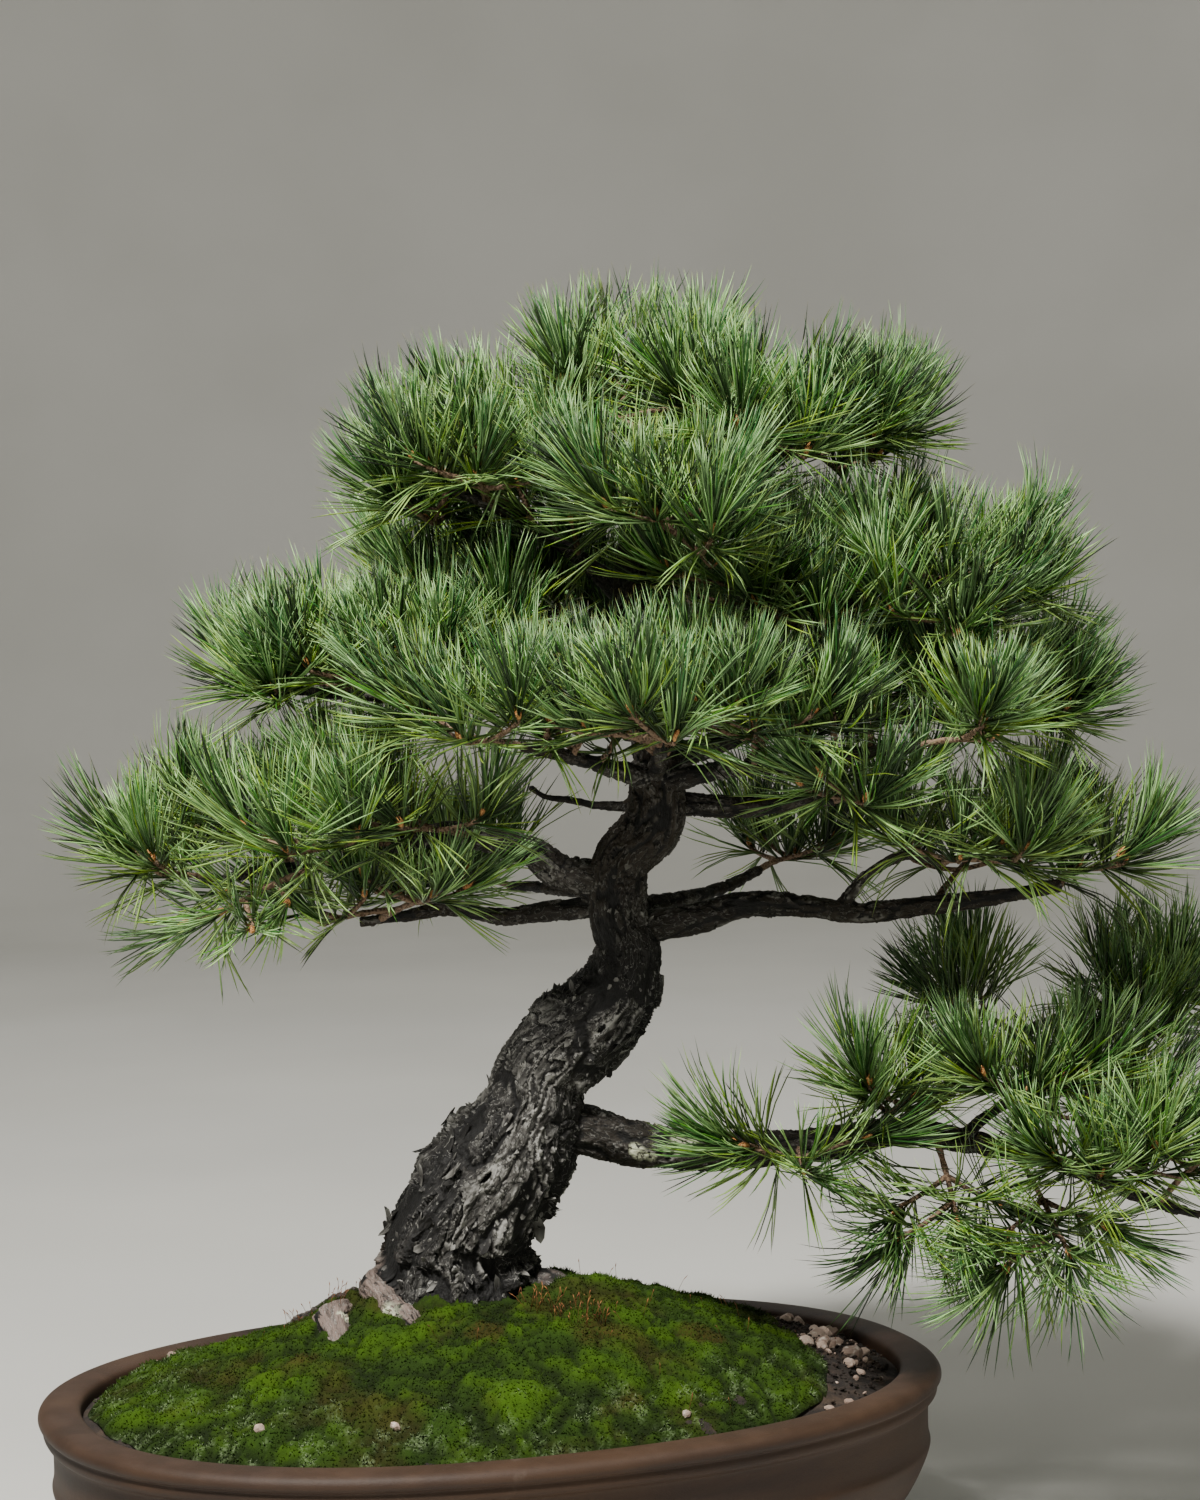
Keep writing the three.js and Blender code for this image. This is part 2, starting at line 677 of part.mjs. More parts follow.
// Three points round a centre, across an axis; the first lies towards "side".
function triangleRing(centre, axis, side, radius, turn) {
  return [0, 1, 2].map((k) => {
    const spoke = leaning(axis, side, (2 * Math.PI * k) / 3 + turn, Math.PI / 2);
    return centre.clone().addScaledVector(spoke, radius);
  });
}

// A closed shell that grows: twigs and needles are drawn out of its faces.
class Growth {
  constructor() {
    this.points = [];
    this.triangles = [];
  }

  addPoints(points) {
    const first = this.points.length;
    this.points.push(...points);
    return points.map((_, i) => first + i);
  }

  // Joins two three-cornered rings, leaving out the faces listed in "open".
  addSleeve(lower, upper, open = []) {
    for (let k = 0; k < 3; k += 1) {
      const next = (k + 1) % 3;
      if (!open.includes(k)) {
        this.triangles.push(lower[k], lower[next], upper[next]);
      }
      this.triangles.push(lower[k], upper[next], upper[k]);
    }
  }

  // A bud on an open ring, every face of it drawn out into a needle that is clear of its neighbours.
  addBud(lower, { end, axis, side, owner, id }) {
    const upper = this.addPoints(
      triangleRing(end.clone().addScaledVector(axis, BUD_LENGTH), axis, side, BUD_RADIUS, Math.PI / 3),
    );
    const [top] = this.addPoints([end.clone().addScaledVector(axis, 2 * BUD_LENGTH)]);
    const faces = [];
    for (let k = 0; k < 3; k += 1) {
      const next = (k + 1) % 3;
      faces.push({ corners: [lower[k], lower[next], upper[k]], azimuth: 60 + 120 * k, tilt: 62 });
      faces.push({ corners: [lower[next], upper[next], upper[k]], azimuth: 120 + 120 * k, tilt: 44 });
      faces.push({ corners: [upper[k], upper[next], top], azimuth: 120 + 120 * k, tilt: 17 });
    }
    faces.forEach((face, n) => {
      const foot = centreOf(face.corners.map((corner) => this.points[corner]));
      const apex = needleTip(foot, face, n, { axis, side, owner, id });
      if (apex === null) {
        this.triangles.push(...face.corners);
        return;
      }
      const [a, b, c] = face.corners;
      const [p] = this.addPoints([apex]);
      this.triangles.push(a, b, p, b, c, p, c, a, p);
    });
  }

  // A side shoot that starts from the three corners of a face and ends in a bud.
  addShoot(corners, shoot) {
    const foot = centreOf(corners.map((corner) => this.points[corner]));
    const side = this.points[corners[0]].clone().sub(foot);
    side.addScaledVector(shoot.axis, -side.dot(shoot.axis)).normalize();
    const ring = this.addPoints(triangleRing(shoot.end, shoot.axis, side, BUD_RADIUS, 0));
    this.addSleeve(corners, ring);
    this.addBud(ring, { ...shoot, side });
  }

  solid() {
    return solidOf(indexedGeometry(this.points, this.triangles));
  }
}

// The faces of a twig between its corners, counted from the upper corner.
const RIGHT_FACE = 0;
const LEFT_FACE = 2;

// A twig has one edge upwards, so that its side shoots start from the faces to the right and left.
function twigSolid(twig) {
  const growth = new Growth();
  const { stations, shoots } = twig;
  const ringAt = ({ point, radius, along }) => {
    const left = new THREE.Vector3().crossVectors(UP, along);
    const over = left.lengthSq() > 0.01 ? left.normalize() : twig.across.clone().negate();
    const upwards = new THREE.Vector3().crossVectors(along, over);
    return growth.addPoints(triangleRing(point, along, upwards, radius, 0));
  };
  let lower = ringAt(stations[0]);
  growth.triangles.push(lower[0], lower[2], lower[1]);
  for (let i = 1; i < stations.length; i += 1) {
    const upper = ringAt(stations[i]);
    const growing = shoots.filter((shoot) => shoot.station === i);
    const open = growing.map((shoot) => (shoot.hand > 0 ? RIGHT_FACE : LEFT_FACE));
    growth.addSleeve(lower, upper, open);
    growing.forEach((shoot, n) => {
      const k = open[n];
      const next = (k + 1) % 3;
      growth.addShoot([lower[k], lower[next], upper[next]], shoot);
    });
    lower = upper;
  }
  const last = twig.terminal;
  const side = growth.points[lower[0]].clone().sub(last.end).normalize();
  growth.addBud(lower, { ...last, side });
  return growth.solid();
}

// Tries the needle's own direction, then a few to either side, and takes the first that is clear.
function needleTip(foot, face, n, { axis, side, owner, id }) {
  const length = NEEDLE_LENGTH * (0.88 + 0.24 * draw(id, n + 10));
  for (let attempt = 0; attempt < 7; attempt += 1) {
    const swing = attempt === 0 ? 0 : (draw(id * 7 + attempt, n) - 0.5) * 34;
    const nod = attempt === 0 ? 0 : (draw(id * 5 + attempt, n + 3) - 0.5) * 16;
    const azimuth = face.azimuth + (draw(id, n + 30) - 0.5) * 16 + swing;
    const tilt = face.tilt + (draw(id, n + 50) - 0.5) * 12 + nod;
    const toRadians = THREE.MathUtils.degToRad;
    const direction = leaning(axis, side, toRadians(azimuth), toRadians(tilt));
    const to = foot.clone().addScaledVector(direction, length);
    const needle = { from: foot, to, r0: NEEDLE_ROOT_RADIUS, r1: 0 };
    if (to.z > LOWEST_NEEDLE && isClear(needle, owner, id)) {
      obstacles.push({ ...needle, owner, shoot: id });
      return to;
    }
  }
  return null;
}

// One twig from "base" to "tip", with a bud at its end and side shoots in pairs along it.
function planTwig(base, tip, count, lift, owner, firstId) {
  const run = tip.clone().sub(base);
  const level = new THREE.Vector3(run.x, run.y, 0);
  if (level.length() < 5) {
    level.set(1, 0, 0);
  }
  level.normalize();
  const across = new THREE.Vector3().crossVectors(level, UP);
  const middle = base.clone().lerp(tip, 0.5).addScaledVector(UP, 4);
  const bend = new THREE.QuadraticBezierCurve3(base, middle, tip);
  const pairs = Math.ceil((count - 1) / 2);
  const stationAt = (share) => {
    const radius = TWIG_RADIUS + (BUD_RADIUS - TWIG_RADIUS) * share;
    return { point: bend.getPoint(share), along: bend.getTangent(share), radius };
  };
  const shares = [0];
  for (let i = 0; i < pairs; i += 1) {
    const share = pairs === 1 ? 0.66 : 0.5 + 0.3 * i;
    shares.push(share, share + 4 / run.length());
  }
  shares.push(1);
  const shoots = [];
  for (let i = 0; i < count - 1; i += 1) {
    const id = firstId + i;
    const hand = i % 2 === 0 ? 1 : -1;
    const station = 2 + 2 * Math.floor(i / 2);
    const start = bend.getPoint(shares[station]);
    const end = start.clone().addScaledVector(across, hand * (24 + 14 * draw(id, 1)));
    end.addScaledVector(level, 2 + 14 * draw(id, 2));
    end.addScaledVector(UP, (4 + 12 * draw(id, 3)) * (lift < 0 ? -1 : 1));
    const axis = UP.clone().multiplyScalar(lift).addScaledVector(level, 0.35);
    axis.addScaledVector(across, hand * 0.45).normalize();
    shoots.push({ hand, station, start, end, axis, owner, id });
  }
  const id = firstId + count - 1;
  const axis = UP.clone().multiplyScalar(lift).addScaledVector(level, 0.6).normalize();
  const terminal = { start: bend.getPoint(0.5), end: tip, axis, owner, id };
  return { stations: shares.map(stationAt), shoots, terminal, across, bend, owner };
}

function planSprays() {
  const twigs = [];
  let id = 0;
  for (const [owner, [branch, share, lift, ...rest]] of Object.entries(SPRAYS)) {
    let base = alongBranch(branch, share);
    for (let i = 0; i < rest.length; i += 2) {
      const twig = planTwig(base, treePoint(rest[i]), rest[i + 1], lift, owner, id);
      twigs.push(twig);
      id += rest[i + 1];
      base = twigs[twigs.length - 1 - i / 2].bend.getPoint(0.32 + 0.06 * i);
    }
  }
  return twigs;
}

function addTwigObstacles({ stations, shoots, terminal, owner }) {
  const rod = (from, to, r0, r1, shoot) => {
    obstacles.push({ from, to, r0, r1, owner, twig: true, shoot });
  };
  for (let i = 0; i + 1 < stations.length; i += 1) {
    rod(stations[i].point, stations[i + 1].point, stations[i].radius, stations[i + 1].radius);
  }
  for (const { start, end, axis, id } of [...shoots, terminal]) {
    rod(start, end, TWIG_RADIUS, BUD_RADIUS, id);
    rod(end, end.clone().addScaledVector(axis, 2 * BUD_LENGTH), BUD_RADIUS, 0.5, id);
  }
}

function buildSprays(thickTrunk) {
  addLimbObstacles(TRUNK, TRUNK.map((row) => row[3]));
  for (const { radii, points } of Object.values(BRANCHES)) {
    addLimbObstacles(points, taper(radii, points.length));
  }
  const twigs = planSprays();
  twigs.forEach(addTwigObstacles);
  for (const name of Object.keys(SPRAYS)) {
    const solids = twigs.filter((twig) => twig.owner === name).map(twigSolid);
    const spray = largestPiece(joined(solids).subtract(thickTrunk));
    addNode("spray_" + name, spray, name.startsWith("low") ? NEEDLE_GREEN : NEEDLE_BLUE_GREEN);
  }
}

// ---------------------------------------------------------------- assembly

const thickTrunk = buildTrunk(FIT_GAP);
addNode("pot", buildPot(), STONEWARE);
addNode("drain_screen_left", buildScreen(-1), SCREEN_PLASTIC);
addNode("drain_screen_right", buildScreen(1), SCREEN_PLASTIC);
addNode("soil", buildSoil(thickTrunk), SOIL);
addNode("moss", largestPiece(buildMoss(thickTrunk)), MOSS);
addNode("trunk", buildTrunk(0), BARK);
buildSprays(thickTrunk);

const outline = new THREE.Box3().setFromObject(group);
const middle = outline.getCenter(new THREE.Vector3());
group.position.set(-middle.x, -middle.y, 0);

export default group;
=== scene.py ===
import math

import bmesh
import bpy
import numpy as np
from bpy.props import FloatProperty, FloatVectorProperty, IntProperty, PointerProperty
from mathutils import Matrix, Vector


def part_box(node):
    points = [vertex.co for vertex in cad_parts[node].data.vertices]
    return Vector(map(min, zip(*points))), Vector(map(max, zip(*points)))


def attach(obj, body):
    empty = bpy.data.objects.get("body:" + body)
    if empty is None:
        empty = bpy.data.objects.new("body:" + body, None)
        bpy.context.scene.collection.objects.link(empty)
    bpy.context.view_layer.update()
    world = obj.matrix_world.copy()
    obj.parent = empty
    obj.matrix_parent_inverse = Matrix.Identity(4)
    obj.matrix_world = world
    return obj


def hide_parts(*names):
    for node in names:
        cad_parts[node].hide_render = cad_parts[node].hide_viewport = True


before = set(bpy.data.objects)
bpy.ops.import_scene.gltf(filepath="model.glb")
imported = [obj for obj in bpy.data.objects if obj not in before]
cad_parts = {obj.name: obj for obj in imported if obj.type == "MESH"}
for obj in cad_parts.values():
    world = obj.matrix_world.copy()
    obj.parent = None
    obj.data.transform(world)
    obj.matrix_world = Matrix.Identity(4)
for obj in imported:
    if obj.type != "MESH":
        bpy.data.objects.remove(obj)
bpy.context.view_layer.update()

# A five-needle pine grown as a bonsai in an oval stoneware pot.
#
# Points are worked out in millimetres in the pot's own frame: its centre is on the Z axis, its feet
# stand at z = 0 and its length runs along X. placed() turns them into metres in the row's frame. The
# tree is measured in its own front view: across to the right, depth away from the viewer, height
# above the table.

bl_info = {
    "name": "Bonsai pine in a stoneware pot",
    "version": (1, 0, 0),
    "blender": (4, 5, 0),
    "location": "View3D > Sidebar > Bonsai",
    "description": "Builds the finished surfaces of a potted bonsai pine around its solids",
    "category": "Add Mesh",
}

MM = 0.001
POT_LOW, POT_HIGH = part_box("pot")
POT_MIDDLE = np.array([(POT_LOW.x + POT_HIGH.x) / 2, (POT_LOW.y + POT_HIGH.y) / 2, 0.0])
UP = np.array([0.0, 0.0, 1.0])

POT_LENGTH = 520
POT_WIDTH = 390
RIM_HEIGHT = 112
OVAL_POWER = 2.22
POT_UNDERSIDE = 12
FOOT_ANGLES = (38, 142, 218, 322)
FOOT_HALF_ANGLE = 12
FOOT_OUTER_INSET = 52
FOOT_INNER_INSET = 70
DRAIN_HOLE_RADIUS = 14
DRAIN_HOLE_SPACING = 220
SOIL_INSET = 25
SOIL_EDGE_HEIGHT = RIM_HEIGHT - 8
MOUND_RISE = 52
TREE_TURN = math.radians(-19.4)
NEEDLE_LENGTH = 58
LOWEST_NEEDLE = RIM_HEIGHT + 14
BUD_RADIUS = 1.35
TWIG_RADIUS = 2.2
ANY_ROLL = 6.3

# [inset from the rim's edge, height] up the outside, over the rim and down the inside.
POT_PROFILE = [
    (66, 12), (52, 12), (48.5, 12.6), (34, 21), (20, 38), (12.6, 52), (9.2, 60), (7.3, 65.5), (6.9, 68.2),
    (8.0, 70.6), (8.5, 76), (8.2, 88), (8.0, 92), (7.2, 94), (4.3, 95.2), (2.9, 96.8), (2.6, 99.4),
    (3.3, 101.4), (3.2, 102.6), (0.9, 103.4), (0, 105.4), (0.4, 108), (2.4, 110.6), (6.6, 112),
    (13, 112.2), (19.6, 111.7), (23, 110.6), (24.3, 108.4), (24.5, 104), (24.5, 84), (24.5, 62),
    (28.5, 48), (36, 39), (50, 31), (68, 24), (78, 24),
]

# [across, depth, height, radius] up the trunk.
TRUNK = [
    (-26, 24, 70, 34), (-26, 24, 105, 52), (-26, 24, 139, 57), (-24, 23, 160, 49), (-24, 22, 182, 42),
    (-10, 21, 206, 41), (3, 21, 223, 39), (14, 20, 242, 36), (24, 19, 264, 29), (30, 19, 284, 26),
    (48, 18, 301, 28.5), (62, 17, 315, 28), (75, 17, 331, 25), (80, 16, 352, 20.5), (76, 15, 373, 17),
    (76, 15, 391, 17), (80, 14, 407, 17), (95, 13, 424, 17.5), (99, 13, 446, 16), (97, 11, 474, 12),
    (90, 11, 497, 11), (86, 10, 525, 10), (85, 9, 554, 9), (88, 7, 588, 8), (93, 6, 622, 7), (93, 5, 650, 4),
]

# Each branch: the radius at its start and at its end, then its points.
BRANCHES = {
    "lowRight": ((15, 3), [
        (40, 22, 252), (85, 19, 240), (120, 16, 236), (160, 19, 236), (201, 24, 238), (236, 29, 243),
        (271, 34, 236), (312, 36, 226), (348, 39, 213), (382, 39, 197), (412, 42, 187)]),
    "lowRightBack": ((6, 3), [(236, 29, 243), (278, 84, 263), (325, 124, 287), (365, 144, 296)]),
    "lowRightFork": ((4.5, 3), [(271, 34, 236), (285, 26, 250), (299, 19, 261)]),
    "midRight": ((10, 4), [
        (80, 20, 364), (122, 21, 370), (146, 19, 377), (180, 19, 376), (215, 21, 371), (255, 24, 374),
        (296, 29, 378), (332, 34, 383)]),
    "midRightFork": ((4.2, 2.4), [(203, 20, 373), (219, 18, 393), (241, 16, 404), (262, 12, 399)]),
    "lowLeft": ((7, 3), [
        (76, 20, 380), (30, 34, 374), (7, 36, 372), (-22, 39, 377), (-51, 39, 373), (-75, 39, 370)]),
    "midLeft": ((12, 2.6), [
        (76, 18, 390), (42, 19, 399), (28, 14, 410), (9, 9, 417), (-16, -1, 423), (-39, -6, 421),
        (-64, -11, 416), (-93, -11, 408), (-121, -11, 406), (-150, -6, 400)]),
    "rightShort": ((8, 3), [(98, 18, 437), (141, 19, 434), (164, 14, 434), (181, 12, 437), (201, 9, 437)]),
    "leftThin": ((3.2, 1.8), [(92, 18, 435), (66, 23, 436), (49, 21, 440), (35, 19, 442), (26, 16, 448)]),
    "frontLeft": ((6.5, 3), [(97, 8, 450), (67, -26, 462), (45, -51, 469), (23, -66, 475)]),
    "frontMiddle": ((6, 3), [(98, 8, 452), (100, -36, 467), (100, -71, 474)]),
    "frontRight": ((6.5, 3), [
        (100, 10, 448), (134, -21, 457), (166, -46, 460), (204, -61, 466), (243, -56, 470)]),
    "backRightLow": ((6, 3), [(78, 20, 377), (112, 64, 377), (137, 104, 379), (163, 134, 388)]),
    "backLeftLow": ((5.5, 3), [(76, 20, 385), (41, 74, 384), (11, 114, 383)]),
    "upperRight": ((8, 3), [
        (88, 14, 500), (126, 24, 519), (166, 19, 535), (206, 19, 548), (241, 24, 556), (276, 24, 558)]),
    "right": ((8, 3), [(98, 16, 458), (160, 44, 477), (219, 54, 481), (264, 54, 483), (298, 49, 482)]),
    "left": ((7.5, 2.8), [
        (97, 14, 476), (56, 34, 488), (10, 34, 495), (-30, 29, 499), (-76, 24, 503), (-116, 24, 507)]),
    "upperLeft": ((6.5, 2.8), [
        (85, 10, 552), (69, 24, 569), (52, 24, 583), (30, 24, 598), (7, 24, 610), (-16, 24, 619)]),
    "crownRight": ((5.5, 2.8), [(90, 8, 598), (128, 24, 622), (169, 29, 644), (209, 29, 657)]),
    "back": ((6.5, 3), [(90, 14, 496), (98, 84, 506), (105, 144, 517), (100, 184, 523)]),
    "backLeft": ((6, 3), [(86, 12, 525), (45, 84, 537), (2, 134, 550)]),
    "backRight": ((6, 3), [(88, 12, 528), (152, 94, 541), (209, 134, 552)]),
    "backUpper": ((5, 2.8), [(89, 10, 592), (94, 74, 613), (101, 114, 632)]),
    "frontUpper": ((5, 2.8), [(87, 8, 576), (98, -16, 584), (105, -51, 591)]),
}

# Surface roots, [across, depth, height, radius]. The first two are the bare ones at the left front.
ROOTS = [
    [(-50, 24, 172, 13), (-68, 0, 166, 12), (-58, -24, 158, 11), (-42, -46, 147, 10), (-24, -72, 122, 7)],
    [(-55, 20, 150, 13), (-82, 4, 147, 13), (-91, -17, 149, 15), (-86, -40, 139, 13), (-80, -60, 114, 9)],
    [(0, 20, 158, 15), (42, 14, 153, 12), (78, 8, 142, 9), (112, 2, 120, 6)],
    [(-28, 50, 158, 16), (-38, 95, 146, 11), (-44, 130, 118, 7)],
    [(-50, 40, 150, 13), (-100, 58, 136, 9), (-142, 70, 112, 6)],
]

# name: branch, share of the way along it, lift, then for each twig its tip and its number of tufts.
SPRAYS = {
    "left_end": ("midLeft", 1, 0.8, (-184, 2, 402), 5),
    "left_back": ("midLeft", 0.82, 1, (-158, 50, 424), 4),
    "left_hanging": ("midLeft", 0.74, -0.15, (-140, -52, 388), 5),
    "left_front": ("midLeft", 0.6, 0.7, (-104, -66, 418), 4),
    "left_top": ("midLeft", 0.5, 1.2, (-84, 14, 446), 4),
    "left_inner": ("midLeft", 0.4, 0.8, (-42, -60, 430), 4),
    "left_low": ("lowLeft", 0.9, 0.5, (-30, -24, 388), 3, (-92, -10, 374), 3),
    "left_low_back": ("lowLeft", 0.6, 0.7, (-52, 88, 380), 4),
    "mid_left_end": ("left", 0.97, 0.8, (-115, 22, 503), 5),
    "mid_left_front": ("left", 0.82, 0.9, (-70, -24, 514), 4),
    "mid_left_inner": ("left", 0.6, 0.9, (-22, -20, 520), 4),
    "mid_left_back": ("left", 0.74, 0.9, (-86, 82, 506), 4),
    "mid_left_top": ("left", 0.4, 1.2, (4, 30, 540), 4),
    "front_left": ("frontLeft", 1, 0.8, (-6, -92, 478), 4),
    "front_middle": ("frontMiddle", 1, 0.8, (62, -104, 482), 3, (106, -118, 476), 3),
    "front_inner_right": ("frontRight", 0.4, 0.9, (150, -92, 484), 4),
    "front_right": ("rightShort", 1, 0.6, (212, -54, 438), 4),
    "front_right_end": ("frontRight", 1, 0.7, (280, -66, 472), 4),
    "right_end": ("right", 1, 0.8, (324, 46, 474), 5),
    "right_front": ("right", 0.74, 0.9, (298, 2, 496), 4),
    "right_back": ("right", 0.55, 0.9, (224, 104, 492), 4),
    "upper_right_end": ("upperRight", 1, 0.9, (304, 28, 540), 5),
    "upper_right_front": ("upperRight", 0.8, 0.8, (262, -32, 562), 3, (266, -44, 528), 3),
    "upper_right_inner": ("upperRight", 0.5, 0.8, (192, -36, 532), 4),
    "upper_right_top": ("upperRight", 0.3, 1.1, (140, -60, 566), 4),
    "low_mid_end": ("midRight", 1, 0.8, (342, 40, 392), 5),
    "low_mid_front": ("midRightFork", 1, 0.7, (268, -16, 402), 3, (308, -8, 398), 3),
    "low_mid_back": ("midRight", 0.72, 0.9, (292, 84, 402), 4),
    "low_right_drooping": ("lowRight", 0.34, 0.1, (176, -26, 230), 4),
    "low_right_near": ("lowRight", 0.44, 0.9, (240, 2, 264), 4),
    "low_right_middle": ("lowRightFork", 1, 0.9, (304, -10, 266), 5),
    "low_right_front": ("lowRight", 0.76, 0.5, (344, -20, 222), 5),
    "low_right_hanging": ("lowRight", 0.68, -0.5, (322, -34, 186), 4),
    "low_right_under": ("lowRight", 0.56, -0.3, (262, -26, 204), 4),
    "low_right_upper": ("lowRight", 0.8, 1, (350, 62, 262), 4),
    "low_right_outer": ("lowRight", 0.92, 0.6, (404, -2, 226), 4),
    "low_right_end": ("lowRight", 1, 0.3, (440, 38, 190), 5),
    "low_right_back": ("lowRightBack", 0.62, 1, (286, 134, 302), 4),
    "low_right_far": ("lowRightBack", 1, 0.8, (398, 152, 304), 4, (402, 104, 284), 4),
    "upper_left_end": ("upperLeft", 1, 0.8, (-26, 28, 600), 5),
    "upper_left_front": ("upperLeft", 0.78, 0.8, (2, -32, 622), 4),
    "upper_left_top": ("upperLeft", 0.6, 1.1, (20, 10, 650), 4, (-4, 76, 612), 4),
    "crown_right_end": ("crownRight", 1, 0.8, (227, 24, 630), 5),
    "crown_right_front": ("crownRight", 0.55, 0.9, (150, -18, 652), 3, (184, -36, 630), 3),
    "crown_right_back": ("crownRight", 0.75, 0.8, (214, 76, 624), 4),
    "crown_front": ("frontUpper", 1, 0.8, (100, -92, 596), 4, (130, -74, 570), 3),
    "back_middle": ("back", 1, 0.8, (98, 220, 526), 5),
    "back_left": ("backLeft", 1, 0.8, (-30, 160, 552), 5),
    "back_right": ("backRight", 1, 0.8, (240, 156, 554), 5),
    "back_crown": ("backUpper", 1, 0.9, (104, 148, 642), 5),
    "back_low_right": ("backRightLow", 1, 0.8, (186, 166, 392), 5),
    "back_low_left": ("backLeftLow", 1, 0.8, (-18, 142, 386), 5),
    "apex": ("trunk", 1, 1.3, (62, 14, 664), 3, (126, 8, 662), 3, (92, 30, 678), 3),
}


# ---------------------------------------------------------------- places and chances


def placed(points):
    """Millimetres in the pot's frame as metres in the row's frame."""
    return POT_MIDDLE + np.asarray(points, float) * MM


def tree_point(point):
    """A point of the tree's front view, in the pot's frame."""
    across, depth, height = point[:3]
    c = math.cos(TREE_TURN)
    s = math.sin(TREE_TURN)
    return np.array([across * c - depth * s, across * s + depth * c, height], float)


def draw(n, k):
    """A repeatable draw between 0 and 1."""
    s = math.sin(n * 12.9898 + k * 78.233) * 43758.5453
    return s - math.floor(s)


def smoothstep(start, end, value):
    """0 before the start, 1 past the end, and smooth between them."""
    t = np.clip((value - start) / (end - start), 0, 1)
    return t * t * (3 - 2 * t)


def unit(v):
    """Directions made one unit long."""
    return v / np.linalg.norm(v, axis=-1, keepdims=True)


def chance(cell, salt):
    """A repeatable number between 0 and 1 for each row of whole numbers."""
    n = cell[..., 0] * 374761393 + cell[..., 1] * 668265263 + cell[..., 2] * 1440662683 + salt * 974634777
    n = n & 0xFFFFFFFF
    n = ((n ^ (n >> 13)) * 1274126177) & 0xFFFFFFFF
    return ((n ^ (n >> 16)) & 0xFFFFFF) / 0xFFFFFF


def soft_noise(points, salt=0):
    """Soft noise from -1 to 1 at each point."""
    base = np.floor(points).astype(np.int64)
    part = points - base
    fade = part * part * (3 - 2 * part)
    total = np.zeros(len(points))
    for corner in range(8):
        step = np.array([corner & 1, corner >> 1 & 1, corner >> 2 & 1])
        weight = np.prod(np.where(step, fade, 1 - fade), axis=1)
        total += weight * chance(base + step, salt)
    return 2 * total - 1


def rough_noise(points, octaves, salt=0):
    """Soft noise with finer noise on it."""
    total = np.zeros(len(points))
    for i in range(octaves):
        total += 0.5 ** i * soft_noise(points * 2.03 ** i, salt + 11 * i)
    return total


def scattered_cells(points, salt=0):
    """For each point: the way to its nearest scattered seed, the distances to the two nearest seeds,
    and a number between 0 and 1 for the nearest one."""
    base = np.floor(points).astype(np.int64)
    first = np.full(len(points), 9.0)
    second = np.full(len(points), 9.0)
    way = np.zeros_like(points)
    mark = np.zeros(len(points))
    for dx in (-1, 0, 1):
        for dy in (-1, 0, 1):
            for dz in (-1, 0, 1):
                cell = base + np.array([dx, dy, dz])
                seed = cell + np.column_stack([chance(cell, salt + i) for i in (1, 2, 3)])
                offset = points - seed
                away = np.linalg.norm(offset, axis=1)
                nearer = away < first
                second = np.where(nearer, first, np.minimum(second, away))
                way[nearer] = offset[nearer]
                mark[nearer] = chance(cell, salt + 4)[nearer]
                first = np.minimum(first, away)
    return way, first, second, mark


# ---------------------------------------------------------------- the pot's oval and the mound


def oval_point(angle, inset):
    """A point on the pot's oval outline at an angle, moved inwards."""
    a = POT_LENGTH / 2
    b = POT_WIDTH / 2
    c = np.cos(angle)
    s = np.sin(angle)
    x = a * np.sign(c) * np.abs(c) ** (2 / OVAL_POWER)
    y = b * np.sign(s) * np.abs(s) ** (2 / OVAL_POWER)
    nx = np.sign(x) * np.abs(x / a) ** (OVAL_POWER - 1) / a
    ny = np.sign(y) * np.abs(y / b) ** (OVAL_POWER - 1) / b
    size = np.hypot(nx, ny)
    return x - inset * nx / size, y - inset * ny / size


def oval_ring(count, inset, height):
    """A ring of points on the oval at one inset and height."""
    angle = 2 * math.pi * (np.arange(count) + 0.5) / count
    x, y = oval_point(angle, inset)
    return np.column_stack([x, y, np.full(count, float(height))])


TABLE_ANGLES = np.linspace(-math.pi + 1e-6, math.pi - 1e-6, 1441)
EDGE_X, EDGE_Y = oval_point(TABLE_ANGLES, SOIL_INSET)
EDGE_DIRECTION = np.arctan2(EDGE_Y, EDGE_X)
EDGE_REACH = np.hypot(EDGE_X, EDGE_Y)


def soil_share(x, y):
    """The share of the way out from the pot's centre to the soil's edge, and the oval's angle there."""
    direction = np.arctan2(y, x)
    reach = np.interp(direction, EDGE_DIRECTION, EDGE_REACH)
    return np.hypot(x, y) / reach, np.interp(direction, EDGE_DIRECTION, TABLE_ANGLES)


def mound_height(share, x):
    """The bare mound's height at a share of the way out. It is lower towards both ends."""
    slopes = 1 - 0.3 * smoothstep(-40, -150, x) - 0.2 * smoothstep(40, 180, x)
    return SOIL_EDGE_HEIGHT + MOUND_RISE * (1 - np.minimum(share, 1) ** 2.1) * slopes


def bare_end(angle, depth):
    """How far the bare soil of the right end reaches into the moss, as a share with a ragged edge."""
    ragged = 0.03 * np.sin(5 * angle + 1) + 0.02 * np.sin(11 * angle)
    return np.maximum(0, np.cos(angle)) ** 4 * (ragged - depth)


def moss_edge(angle):
    """The share of the way out at which the solid's moss ends."""
    return 0.95 + bare_end(angle, 0.24)


# ---------------------------------------------------------------- pieces and meshes


def clear_selection():
    """Leaves edit mode and selects nothing."""
    if bpy.context.object and bpy.context.object.mode != "OBJECT":
        bpy.ops.object.mode_set(mode="OBJECT")
    bpy.ops.object.select_all(action="DESELECT")


def select_only(piece):
    """Makes one piece the selected and active one."""
    clear_selection()
    piece.select_set(True)
    bpy.context.view_layer.objects.active = piece


